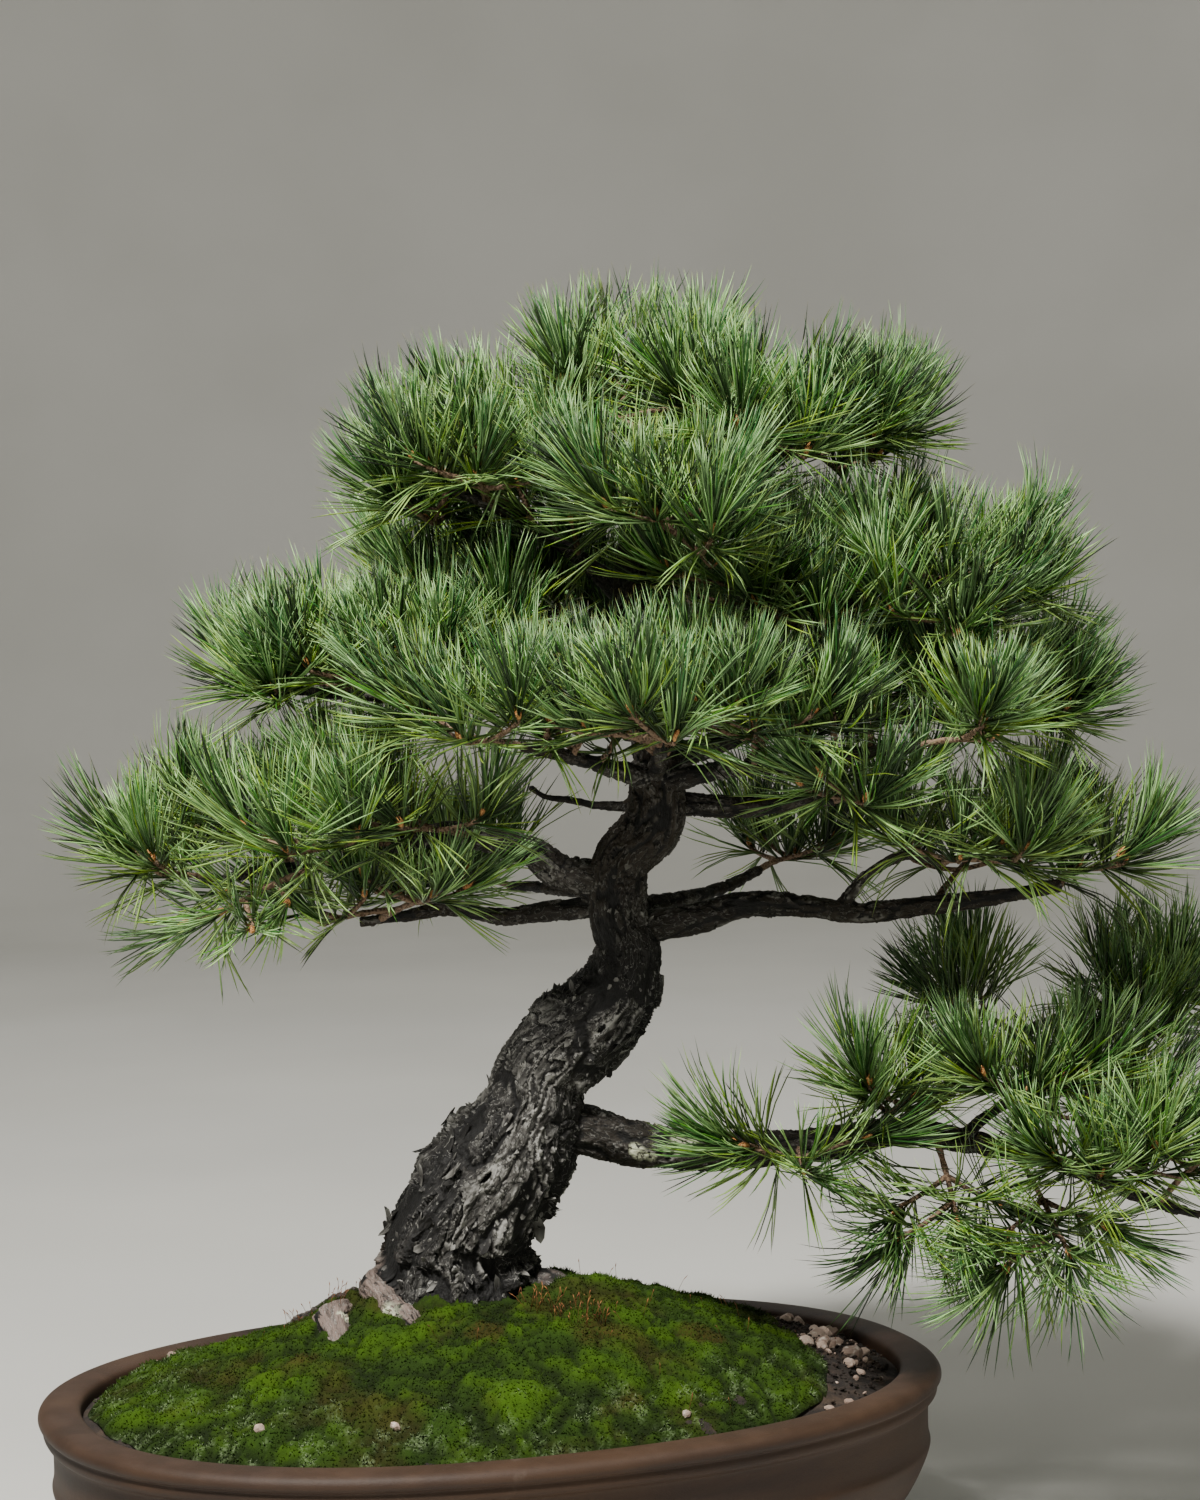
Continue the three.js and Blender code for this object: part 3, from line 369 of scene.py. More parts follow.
def edit_all():
    """Goes into edit mode with the whole piece selected."""
    bpy.ops.object.mode_set(mode="EDIT")
    bpy.ops.mesh.select_all(action="SELECT")


def face_outwards():
    """Turns the faces of the piece in edit mode outwards, and leaves edit mode."""
    bpy.ops.mesh.select_all(action="SELECT")
    bpy.ops.mesh.normals_make_consistent(inside=False)
    bpy.ops.object.mode_set(mode="OBJECT")


def smooth_faces(piece):
    """Shades all of a piece's faces smooth."""
    piece.data.polygons.foreach_set("use_smooth", np.ones(len(piece.data.polygons), bool))


def coat(piece, *materials):
    """Gives a piece these materials and no others."""
    piece.data.materials.clear()
    for material in materials:
        piece.data.materials.append(material)


def apply_modifier(piece, kind, **settings):
    """Adds a modifier with its settings and applies it."""
    select_only(piece)
    modifier = piece.modifiers.new(kind.lower(), kind)
    for name, value in settings.items():
        setattr(modifier, name, value)
    bpy.ops.object.modifier_apply(modifier=modifier.name)


def join_pieces(piece, others):
    """Joins other pieces into one."""
    select_only(piece)
    for other in others:
        other.select_set(True)
    bpy.ops.object.join()
    return piece


def finished(piece, materials, slot, *nodes):
    """Gives a piece its materials and ties it to the part."""
    if len(piece.data.polygons) == 0:
        raise RuntimeError(f"{piece.name} has no faces")
    if piece.matrix_world != Matrix.Identity(4):
        raise RuntimeError(f"{piece.name} isn't at the origin")
    coat(piece, *materials)
    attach(piece, "root")
    if nodes:
        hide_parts(*nodes)
    return piece


def new_piece(name, points, faces, smooth=True):
    """A piece from points in mm in the pot's frame and a list of arrays of faces, each array with one
    number of corners."""
    mesh = bpy.data.meshes.new(name)
    groups = [np.asarray(group) for group in faces if len(group)]
    corners = np.concatenate([group.ravel() for group in groups])
    sizes = np.concatenate([np.full(len(group), group.shape[1]) for group in groups])
    mesh.vertices.add(len(points))
    mesh.vertices.foreach_set("co", placed(points).ravel())
    mesh.loops.add(len(corners))
    mesh.loops.foreach_set("vertex_index", corners.astype(np.int32))
    mesh.polygons.add(len(sizes))
    mesh.polygons.foreach_set("loop_start", np.concatenate([[0], np.cumsum(sizes)[:-1]]).astype(np.int32))
    mesh.polygons.foreach_set("use_smooth", np.full(len(sizes), smooth))
    mesh.update(calc_edges=True)
    mesh.validate()
    piece = bpy.data.objects.new(name, mesh)
    bpy.context.scene.collection.objects.link(piece)
    return piece


def points_of(piece, attribute="co"):
    """A piece's points or their normals as rows."""
    source = piece.data.vertices if attribute == "co" else piece.data.vertex_normals
    values = np.zeros(len(piece.data.vertices) * 3, np.float32)
    source.foreach_get("co" if attribute == "co" else "vector", values)
    return values.reshape(-1, 3).astype(float)


def set_points(piece, points):
    """Moves all of a piece's points."""
    piece.data.vertices.foreach_set("co", points.astype(np.float32).ravel())
    piece.data.update()


def in_pot_mm(points):
    """Metres in the row's frame as millimetres in the pot's frame."""
    return (points - POT_MIDDLE) / MM


def mark_points(piece, name, values):
    """Keeps a number or three numbers for each point, for a material to read."""
    triple = values.ndim == 2
    kind = "FLOAT_VECTOR" if triple else "FLOAT"
    attribute = piece.data.attributes.new(name, kind, "POINT")
    attribute.data.foreach_set("vector" if triple else "value", values.astype(np.float32).ravel())


def ring_skin(name, rings):
    """A closed skin drawn out ring by ring from a filled circle. Rings are points in mm."""
    clear_selection()
    count = len(rings[0])
    bpy.ops.mesh.primitive_circle_add(vertices=count, fill_type="NGON", location=(0, 0, 0))
    piece = bpy.context.object
    piece.name = name
    piece.data.name = name
    edit_all()
    skin = bmesh.from_edit_mesh(piece.data)
    order = list(skin.faces)[0].verts[:]
    for vert, point in zip(order, placed(rings[0])):
        vert.co = point
    bmesh.update_edit_mesh(piece.data)
    for before, ring in zip(rings[:-1], rings[1:]):
        bpy.ops.mesh.extrude_region_move()
        skin = bmesh.from_edit_mesh(piece.data)
        number = {tuple(round(c, 5) for c in Vector(point)): i for i, point in enumerate(placed(before))}
        target = placed(ring)
        for vert in skin.verts:
            if vert.select:
                vert.co = target[number[tuple(round(c, 5) for c in vert.co)]]
        bmesh.update_edit_mesh(piece.data)
    face_outwards()
    return piece


def smooth_line(points, radii, step):
    """Points about a step apart on a smooth line through the given ones, with a radius at each."""
    rows = np.column_stack([points, radii])
    padded = np.vstack([2 * rows[0] - rows[1], rows, 2 * rows[-1] - rows[-2]])
    line = []
    for i in range(len(rows) - 1):
        a, b, c, d = padded[i:i + 4]
        count = max(1, round(np.linalg.norm(c[:3] - b[:3]) / step))
        for t in np.arange(count) / count:
            line.append(0.5 * (2 * b + (c - a) * t + (2 * a - 5 * b + 4 * c - d) * t ** 2
                               + (3 * b - a - 3 * c + d) * t ** 3))
    line.append(rows[-1])
    line = np.array(line)
    return line[:, :3], np.maximum(line[:, 3], 0.4)


def limb_tubes(name, limbs, fineness):
    """Round limbs of changing thickness along lines of points in mm."""
    curve = bpy.data.curves.new(name, "CURVE")
    curve.dimensions = "3D"
    curve.bevel_depth = MM
    curve.bevel_resolution = fineness
    curve.use_fill_caps = True
    for points, radii in limbs:
        spline = curve.splines.new("POLY")
        spline.points.add(len(points) - 1)
        rows = np.ones((len(points), 4))
        rows[:, :3] = placed(points)
        spline.points.foreach_set("co", rows.ravel())
        spline.points.foreach_set("radius", radii)
    piece = bpy.data.objects.new(name, curve)
    bpy.context.scene.collection.objects.link(piece)
    select_only(piece)
    bpy.ops.object.convert(target="MESH")
    return bpy.context.object


def pattern_of(piece):
    """Takes a small model as points and faces to copy, and removes it."""
    points = points_of(piece)
    faces = [tuple(face.vertices) for face in piece.data.polygons]
    bpy.data.objects.remove(piece)
    return points, faces


def copied_faces(faces, per_copy, copies):
    """The faces of many copies of a pattern, as arrays grouped by their number of corners."""
    groups = []
    for size in sorted({len(face) for face in faces}):
        block = np.array([face for face in faces if len(face) == size])
        shift = (np.arange(copies) * per_copy)[:, None, None]
        groups.append((block[None] + shift).reshape(-1, size))
    return groups


# ---------------------------------------------------------------- shader maths


class Wire:
    """A value or colour on its way through a material, with the sums that a material needs."""

    def __init__(self, tree, socket=None):
        self.tree = tree
        self.socket = socket

    def via(self, kind, settings=None, inputs=None, output=0):
        """Adds a node: its settings are set first, then its sockets get values or other wires."""
        node = self.tree.nodes.new(kind)
        for name, value in (settings or {}).items():
            if name == "stops":
                self._set_stops(node.color_ramp, value)
            else:
                setattr(node, name, value)
        for name, value in (inputs or {}).items():
            socket = self._find(node.inputs, name)
            if isinstance(value, Wire):
                self.tree.links.new(value.socket, socket)
            else:
                socket.default_value = value
        return Wire(self.tree, self._find(node.outputs, output))

    @staticmethod
    def _find(sockets, name):
        if isinstance(name, int):
            return sockets[name]
        for socket in sockets:
            if socket.identifier == name:
                return socket
        return next(s for s in sockets if s.name == name and s.enabled)

    @staticmethod
    def _set_stops(ramp, stops):
        while len(ramp.elements) > 1:
            ramp.elements.remove(ramp.elements[-1])
        ramp.elements[0].position = stops[0][0]
        ramp.elements[0].color = stops[0][1]
        for position, colour in stops[1:]:
            ramp.elements.new(position).color = colour

    def _sum(self, operation, first, second):
        return self.via("ShaderNodeMath", {"operation": operation}, {0: first, 1: second})

    def __add__(self, other):
        return self._sum("ADD", self, other)

    def __radd__(self, other):
        return self._sum("ADD", other, self)

    def __sub__(self, other):
        return self._sum("SUBTRACT", self, other)

    def __rsub__(self, other):
        return self._sum("SUBTRACT", other, self)

    def __mul__(self, other):
        return self._sum("MULTIPLY", self, other)

    def __rmul__(self, other):
        return self._sum("MULTIPLY", other, self)

    def place(self):
        """The piece's own coordinates."""
        return self.via("ShaderNodeTexCoord", output="Object")

    def mark(self, name, output="Vector"):
        """What mark_points kept on the piece under a name."""
        return self.via("ShaderNodeAttribute", {"attribute_name": name}, output=output)

    def fraction(self):
        """What is left of a value above its whole number."""
        return self.via("ShaderNodeMath", {"operation": "FRACT"}, {0: self})

    def between(self, low, high):
        """0 below the low value, 1 above the high one, and smooth between them."""
        settings = {"interpolation_type": "SMOOTHSTEP"}
        inputs = {"Value": self, "From Min": low, "From Max": high, "To Min": 0.0, "To Max": 1.0}
        return self.via("ShaderNodeMapRange", settings, inputs, "Result")

    def mixed(self, first, second):
        """A colour that goes from the first to the second as this value goes from 0 to 1."""
        inputs = {"Factor_Float": self, "A_Color": first, "B_Color": second}
        return self.via("ShaderNodeMix", {"data_type": "RGBA"}, inputs, "Result_Color")

    def parts(self):
        """The three numbers of a vector."""
        split = self.via("ShaderNodeSeparateXYZ", None, {"Vector": self})
        node = split.socket.node
        return [Wire(self.tree, node.outputs[i]) for i in range(3)]

    def stretched(self, x, y, z):
        """A place with each of its axes scaled."""
        return self.via("ShaderNodeMapping", None, {"Vector": self, "Scale": (x, y, z)})

    def noise(self, scale, detail=3.0, roughness=0.5):
        """Soft noise at a place."""
        inputs = {"Vector": self, "Scale": scale, "Detail": detail, "Roughness": roughness}
        return self.via("ShaderNodeTexNoise", None, inputs, "Fac")

    def cells(self, scale):
        """The distance to the nearest of many scattered seeds."""
        return self.via("ShaderNodeTexVoronoi", None, {"Vector": self, "Scale": scale}, "Distance")


def start_material(name):
    """A new material, its first wire and its surface shader."""
    material = bpy.data.materials.new(name)
    material.use_nodes = True
    tree = material.node_tree
    return material, Wire(tree), tree.nodes["Principled BSDF"]


def colour(code):
    """A colour written as a web code, in the linear form that materials use."""
    parts = [(code >> shift & 255) / 255 for shift in (16, 8, 0)]
    linear = [p / 12.92 if p <= 0.04045 else ((p + 0.055) / 1.055) ** 2.4 for p in parts]
    return (*linear, 1.0)


def connect(wire, shader, **sockets):
    """Sets the surface shader's sockets, named with underscores, to values or wires."""
    for name, value in sockets.items():
        socket = shader.inputs[name.replace("_", " ")]
        if isinstance(value, Wire):
            wire.tree.links.new(value.socket, socket)
        else:
            socket.default_value = value


def bumped(wire, height, distance, strength=1.0):
    """A surface roughened by a height, as a normal."""
    inputs = {"Height": height, "Distance": distance, "Strength": strength}
    return wire.via("ShaderNodeBump", None, inputs, "Normal")


# ---------------------------------------------------------------- settings


def colour_setting(name, words, code):
    """A colour for the panel, from a web code."""
    return FloatVectorProperty(name=name, description=words, subtype="COLOR", size=4, min=0, max=1,
                               default=colour(code))


def length_setting(name, words, default, low, high):
    """A length in metres for the panel."""
    return FloatProperty(name=name, description=words, default=default, min=low, max=high,
                         subtype="DISTANCE", unit="LENGTH")


class PotSettings(bpy.types.PropertyGroup):
    clay: colour_setting("Clay", "Colour of the unglazed clay", 0x3e2a1a)
    dark_clay: colour_setting("Dark clay", "Colour where the fire caught the clay", 0x291a10)
    # Paler clay for the rim's top: partly rubbed wear, partly a painted sheen.
    worn_clay_and_sheen: colour_setting("Worn clay", "Colour of rubbed edges", 0x6d5546)
    rounding: IntProperty(name="Rounding", description="Times that the skin is subdivided", default=2,
                          min=1, max=3)


class GroundSettings(bpy.types.PropertyGroup):
    grid: length_setting("Moss grid", "Spacing of the moss's points", 0.002, 0.001, 0.01)
    cushion: length_setting("Cushion height", "Rise of the moss's cushions", 0.0068, 0, 0.02)
    tips: IntProperty(name="Moss tips", description="Number of single moss shoots", default=34000, min=0)
    green: colour_setting("Moss", "Colour of fresh moss", 0x3c590f)
    # Painted shade in the valleys between the moss's cushions.
    valley_shade: colour_setting("Deep moss", "Colour between the cushions", 0x151f09)
    olive: colour_setting("Dry moss", "Colour of the dry patches", 0x3b3413)
    frost: colour_setting("Pale moss", "Colour of the frosted cushions", 0xa3b78c)
    soil: colour_setting("Soil", "Colour of the bare soil", 0x2c221b)
    grit: colour_setting("Grit", "Colour of the grit", 0xb9a394)
    stones: IntProperty(name="Stones", description="Number of scattered stones", default=60, min=0)
    crumbs: IntProperty(name="Crumbs", description="Number of crumbs of soil", default=900, min=0)


class BarkSettings(bpy.types.PropertyGroup):
    fineness: length_setting("Fineness", "Size of the skin's faces", 0.001, 0.0008, 0.005)
    flakes: IntProperty(name="Flakes", description="Number of loose flakes tried", default=620, min=0)
    relief: FloatProperty(name="Relief", description="Depth of the bark's plates", default=1.0, min=0,
                          max=2, subtype="FACTOR")
    # The crack colour is partly the dark of the real cracks and partly painted shade in them and under the
    # lips.
    crack: colour_setting("Cracks", "Colour in the cracks", 0x090807)
    plate: colour_setting("Plates", "Colour of the plates", 0x2a2723)
    silver: colour_setting("Edges", "Colour of the weathered edges", 0xa8a7a1)
    olive: colour_setting("Young bark", "Colour of the upper bark", 0x2e261b)
    pink: colour_setting("Bare roots", "Colour of the bare roots", 0x7c6c64)
    lichen: colour_setting("Lichen", "Colour of the lichen", 0xc3c7ab)


class NeedleSettings(bpy.types.PropertyGroup):
    width: length_setting("Width", "Width of a needle", 0.001, 0.0004, 0.002)
    bundles: IntProperty(name="Bundles", description="Bundles of five needles in a tuft", default=26,
                         min=5, max=40)
    blue_green: colour_setting("Upright needles", "Colour of the upright needles", 0x2f6831)
    green: colour_setting("Needles", "Colour of most needles", 0x4c871f)
    yellow_green: colour_setting("Lower needles", "Colour of the lower needles", 0x9aba34)
    # The pale sides are the needles' real lines of wax, brightened into painted highlights.
    pale: colour_setting("Pale side", "Colour of a needle's waxy sides", 0xaed68f)
    twig: colour_setting("Twigs", "Colour of the twigs", 0x5d4430)
    bud: colour_setting("Buds", "Colour of the buds", 0x9a4f22)


class StudioSettings(bpy.types.PropertyGroup):
    floor: colour_setting("Floor", "Colour of the floor", 0xc0c0bc)
    key: FloatProperty(name="Key light", description="Power of the main light", default=212.0, min=0,
                       unit="POWER")
    fill: FloatProperty(name="Fill light", description="Power of the light from the right", default=4.0,
                        min=0, unit="POWER")
    sky: FloatProperty(name="Sky", description="Strength of the light from all round", default=0.09, min=0)


# ---------------------------------------------------------------- materials

CHALK = colour(0xb8aca0)
SCREEN_GREEN = colour(0x26352b)
SCREEN_DIRT = colour(0x4a4034)
WET_SOIL = colour(0x120d0a)
DRY_SOIL = colour(0x5a4838)
DARK_STONE = colour(0x7a6558)
PALE_STONE = colour(0xe6ddd2)
SHADED_MOSS = colour(0x29400f)
SUNLIT_MOSS = colour(0x7d9a2c)
DARK_STALK = colour(0x6b3420)
PALE_STALK = colour(0x9a6638)
OLD_PLATE = colour(0x151413)
DARK_TWIG = colour(0x33261c)
TWIG_SCALE = colour(0x9a8068)
BUD_SCALE = colour(0xd09a5c)
# Painted shade: the near-black of needles that stand for the shaded ones inside a tuft.
PAINTED_NEEDLE_SHADE = colour(0x0e2006)
# Painted shade at the feet of the needles, deep in a tuft.
NEEDLE_FOOT_SHADE = colour(0x12280a)
NEEDLE_SHEATH = colour(0x7c5a34)
NEEDLE_TIP = colour(0xb9a850)
FLOOR_HAZE = colour(0xc8c8c4)
STUDIO_AIR = colour(0xd4d8db)


def stoneware_material(settings):
    """Unglazed clay with clouds, fine streaks, specks and a worn rim, whose paler top is partly a painted
    sheen.
    """
    material, wire, shader = start_material("stoneware")
    place = wire.place()
    height = place.parts()[2]
    clouds = place.noise(9, 5, 0.6)
    streaks = place.stretched(1, 1, 7).noise(14, 4, 0.55)
    grain = place.noise(900, 3, 0.7)
    specks = place.cells(420)
    body = (clouds * 0.6 + streaks * 0.5).between(0.35, 0.75).mixed(settings.dark_clay, settings.clay)
    # The rim's top is paler in patches: partly rubbed wear, partly a painted sheen.
    edge = height.between(0.1035, 0.112) * place.noise(60, 4, 0.6).between(0.35, 0.7)
    worn = (edge * 0.12).mixed(body, settings.worn_clay_and_sheen)
    speckled = (1 - specks.between(0.05, 0.2)).mixed(worn, settings.dark_clay)
    chalk = place.noise(24, 6, 0.65).between(0.63, 0.75) * height.between(0.06, 0.112)
    whole = (chalk * 0.1).mixed(speckled, CHALK)
    rough = 0.5 + clouds * 0.16 + grain * 0.1
    relief = grain * 0.45 + streaks * 0.5 + place.noise(160, 3, 0.6) * 0.25
    connect(wire, shader, Base_Color=whole, Roughness=rough, Specular_IOR_Level=0.4)
    connect(wire, shader, Normal=bumped(wire, relief, 0.0006, 0.7))
    return material


def screen_material():
    """Dull green plastic with dirt on it."""
    material, wire, shader = start_material("screen_plastic")
    place = wire.place()
    dirt = place.noise(120, 4, 0.6)
    whole = dirt.between(0.45, 0.7).mixed(SCREEN_GREEN, SCREEN_DIRT)
    connect(wire, shader, Base_Color=whole, Roughness=0.45 + dirt * 0.3)
    connect(wire, shader, Normal=bumped(wire, place.noise(700, 2), 0.0003, 0.6))
    return material


def soil_material(settings):
    """Dark soil with paler dry patches."""
    material, wire, shader = start_material("soil")
    place = wire.place()
    lumps = place.noise(180, 5, 0.7)
    light = place.noise(60, 3).between(0.5, 0.75)
    base = lumps.between(0.3, 0.7).mixed(WET_SOIL, settings.soil)
    whole = (light * 0.5).mixed(base, DRY_SOIL)
    connect(wire, shader, Base_Color=whole, Roughness=0.85 + lumps * 0.12)
    connect(wire, shader, Normal=bumped(wire, lumps + place.noise(900, 3) * 0.4, 0.0012, 0.9))
    return material


def stone_material(settings):
    """Grit, each stone in its own tone."""
    material, wire, shader = start_material("grit")
    place = wire.place()
    tone = wire.mark("stone_tone", "Fac")
    mottle = place.noise(220, 5, 0.65)
    base = tone.mixed(DARK_STONE, settings.grit)
    whole = (mottle.between(0.5, 0.72) * 0.6).mixed(base, PALE_STONE)
    connect(wire, shader, Base_Color=whole, Roughness=0.6 + mottle * 0.25)
    connect(wire, shader, Normal=bumped(wire, mottle + place.noise(1200, 2) * 0.3, 0.0006, 0.8))
    return material


def moss_material(settings):
    """Moss with painted shade between its cushions. Its marks are the height on a cushion, frost and
    dryness.
    """
    material, wire, shader = start_material("moss")
    place = wire.place()
    marks = wire.mark("moss_marks")
    crest, frost, dry = marks.parts()
    patches = place.noise(26, 4, 0.6)
    fuzz = place.noise(700, 3, 0.7)
    fresh = patches.between(0.35, 0.65).mixed(SHADED_MOSS, settings.green)
    # Painted shade: low on a cushion, the moss goes towards the valley colour.
    lit = crest.between(-0.1, 0.75).mixed(settings.valley_shade, fresh)
    brown = place.noise(19, 4, 0.6).between(0.48, 0.72) * 0.6
    faded = brown.mixed(lit, settings.olive)
    dried = (dry * fuzz.between(0.3, 0.6)).mixed(faded, settings.olive)
    frosted = (frost * fuzz.between(0.42, 0.6) * 0.75).mixed(dried, settings.frost)
    whole = (fuzz.between(0.6, 0.85) * crest * 0.4).mixed(frosted, SUNLIT_MOSS)
    connect(wire, shader, Base_Color=whole, Roughness=0.85 + fuzz * 0.13, Specular_IOR_Level=0.15)
    connect(wire, shader, Normal=bumped(wire, fuzz + place.noise(260, 3) * 0.6, 0.0014, 1.0))
    return material


def spore_material():
    """Thin red-brown stalks."""
    material, wire, shader = start_material("spore_stalks")
    place = wire.place()
    tone = place.noise(300, 2)
    whole = tone.between(0.35, 0.65).mixed(DARK_STALK, PALE_STALK)
    connect(wire, shader, Base_Color=whole, Roughness=0.5 + tone * 0.2)
    return material


def bark_material(settings):
    """Bark by its plates. Marks: height on a plate, the plate's own tone and the sharp edges of flakes.
    Tints: bare root, young bark and lichen. The limb's own length leads the fine streaks. Painted shade
    falls in the cracks and under the lips, and the lips carry painted highlight."""
    material, wire, shader = start_material("bark")
    marks = wire.mark("bark_marks")
    tints = wire.mark("bark_tints")
    limb = wire.mark("limb_place")
    level, tone, flake = marks.parts()
    pink, young, lichen = tints.parts()
    streaks = limb.stretched(1, 1, 0.16).noise(380, 5, 0.65)
    blotches = limb.noise(70, 4, 0.6)
    fine = limb.stretched(1, 1, 0.5).noise(1500, 3, 0.7)
    plate = (tone * 0.7 + blotches * 0.4).between(0.2, 0.8).mixed(OLD_PLATE, settings.plate)
    aged = (young * 0.8).mixed(plate, settings.olive)
    edges = flake * (tone * 0.8 + streaks * 0.6).between(0.45, 0.95)
    shelf = (limb.stretched(1, 1, 0.42).noise(120, 4, 0.55) * 9.0).fraction()
    silvered = (edges * 0.8 * (1 - young * 0.6)).mixed(aged, settings.silver)
    worn = tone.between(0.55, 0.95) * streaks.between(0.3, 0.7) * (1 - young * 0.7)
    streaked = (worn * 0.2).mixed(silvered, settings.silver)
    rooty = (pink * streaks.between(0.25, 0.6)).mixed(streaked, settings.pink)
    # Pale lips above each step of the shelves: partly weathered edges, partly painted highlight.
    lip_wear_and_highlight = ((1 - shelf.between(0.0, 0.16)) * (1 - young * 0.6) * 0.45).mixed(rooty, settings.silver)
    # Painted shade under the lip of each shelf.
    painted_undercut_shade = (shelf.between(0.66, 0.96) * (1 - pink * 0.7) * 0.8).mixed(lip_wear_and_highlight, settings.crack)
    # Where the level is low, in the cracks and under the lips, the crack colour is partly the cracks' own
    # dark and partly painted shade.
    shaded_cracks = level.between(0.08, 0.42).mixed(settings.crack, painted_undercut_shade)
    spots = lichen * limb.noise(420, 4, 0.6).between(0.38, 0.5)
    whole = spots.mixed(shaded_cracks, settings.lichen)
    rough = 0.62 + fine * 0.25
    relief = streaks * 0.6 + fine * 0.3 + blotches * 0.3 - shelf * 0.8
    connect(wire, shader, Base_Color=whole, Roughness=rough, Specular_IOR_Level=0.42)
    connect(wire, shader, Normal=bumped(wire, relief, 0.0011, 0.9))
    return material


def twig_material(settings):
    """Rough twigs with paler scales."""
    material, wire, shader = start_material("twig_bark")
    place = wire.place()
    scales = place.cells(520)
    patches = place.noise(140, 4, 0.6)
    base = patches.between(0.35, 0.65).mixed(DARK_TWIG, settings.twig)
    whole = (scales.between(0.3, 0.6) * 0.6).mixed(base, TWIG_SCALE)
    connect(wire, shader, Base_Color=whole, Roughness=0.7 + patches * 0.2)
    connect(wire, shader, Normal=bumped(wire, scales + patches * 0.5, 0.0009, 0.9))
    return material


def bud_material(settings):
    """Buds with pale edges to their scales."""
    material, wire, shader = start_material("bud")
    place = wire.place()
    scales = place.cells(900)
    whole = scales.between(0.25, 0.6).mixed(settings.bud, BUD_SCALE)
    connect(wire, shader, Base_Color=whole, Roughness=0.45 + scales * 0.3)
    connect(wire, shader, Normal=bumped(wire, scales, 0.0006, 0.9))
    return material


def needle_material(settings):
    """Needles by their marks: how yellow one is, the share of the way to its tip, how light it is. The
    lightness is painted light and shade.
    """
    material, wire, shader = start_material("needles")
    place = wire.place()
    marks = wire.mark("needle_marks")
    waxy = wire.mark("waxy_side", "Fac")
    yellow, share, light = marks.parts()
    patches = place.noise(45, 3, 0.6)
    cool = yellow.between(0.0, 0.45).mixed(settings.blue_green, settings.green)
    body = (yellow + patches * 0.5 - 0.25).between(0.45, 1.0).mixed(cool, settings.yellow_green)
    # Painted shade: needles with little lightness go towards the near-black inner colour.
    needle_shade = light.between(0.08, 0.95).mixed(PAINTED_NEEDLE_SHADE, body)
    # The waxy sides go pale by the square of the lightness: real lines of wax, shown as painted highlights
    # on the lighter needles.
    waxed = (waxy * light * light * 0.9).mixed(needle_shade, settings.pale)
    # Painted shade: each needle darkens towards its foot.
    shaded = ((1 - share.between(0.08, 0.62)) * 0.72).mixed(waxed, NEEDLE_FOOT_SHADE)
    sheath = ((1 - share.between(0.0, 0.06)) * 0.8).mixed(shaded, NEEDLE_SHEATH)
    whole = (share.between(0.94, 1.0) * 0.5).mixed(sheath, NEEDLE_TIP)
    connect(wire, shader, Base_Color=whole, Roughness=0.36 + patches * 0.14, Specular_IOR_Level=0.5)
    connect(wire, shader, Normal=bumped(wire, place.noise(1400, 2), 0.0002, 0.4))
    return material


def floor_material(settings):
    """The plain pale floor of the studio."""
    material, wire, shader = start_material("studio_floor")
    place = wire.place()
    haze = place.noise(1.5, 3)
    whole = haze.between(0.3, 0.7).mixed(settings.floor, FLOOR_HAZE)
    connect(wire, shader, Base_Color=whole, Roughness=0.7 + place.noise(40, 3) * 0.1)
    connect(wire, shader, Normal=bumped(wire, place.noise(300, 2), 0.0004, 0.3))
    return material


# ---------------------------------------------------------------- the pot


POT_SEGMENTS = 72
HOLE_SEGMENTS = 48
HOLE_CUTTER_HEIGHT = 60
SHARP_EDGE = math.radians(38)
FOOT_STEPS = 8
FOOT_END_TUCK = 2.5
FOOT_OVERLAP = 3
FOOT_ROUNDING = 1.4
FOOT_CORNER = math.radians(40)


def build_pot(settings):
    """The oval pot: its skin, four feet that follow the oval, and two drain holes."""
    rings = [oval_ring(POT_SEGMENTS, inset, height) for inset, height in POT_PROFILE]
    pot = ring_skin("stoneware_pot", rings)
    apply_modifier(pot, "SUBSURF", levels=settings.rounding, render_levels=settings.rounding)
    feet = [build_foot(middle) for middle in FOOT_ANGLES]
    foot = join_pieces(feet[0], feet[1:])
    apply_modifier(pot, "BOOLEAN", operation="UNION", object=foot, solver="EXACT")
    bpy.data.objects.remove(foot)
    holes = []
    for side in (-1, 1):
        clear_selection()
        middle = placed([side * DRAIN_HOLE_SPACING / 2, 0, POT_UNDERSIDE])
        bpy.ops.mesh.primitive_cylinder_add(vertices=HOLE_SEGMENTS, radius=DRAIN_HOLE_RADIUS * MM,
                                            depth=HOLE_CUTTER_HEIGHT * MM, location=middle)
        holes.append(bpy.context.object)
    hole = join_pieces(holes[0], holes[1:])
    apply_modifier(pot, "BOOLEAN", operation="DIFFERENCE", object=hole, solver="EXACT")
    bpy.data.objects.remove(hole)
    select_only(pot)
    bpy.ops.object.shade_smooth_by_angle(angle=SHARP_EDGE)
    return finished(pot, [stoneware_material(settings)], "stoneware", "pot")


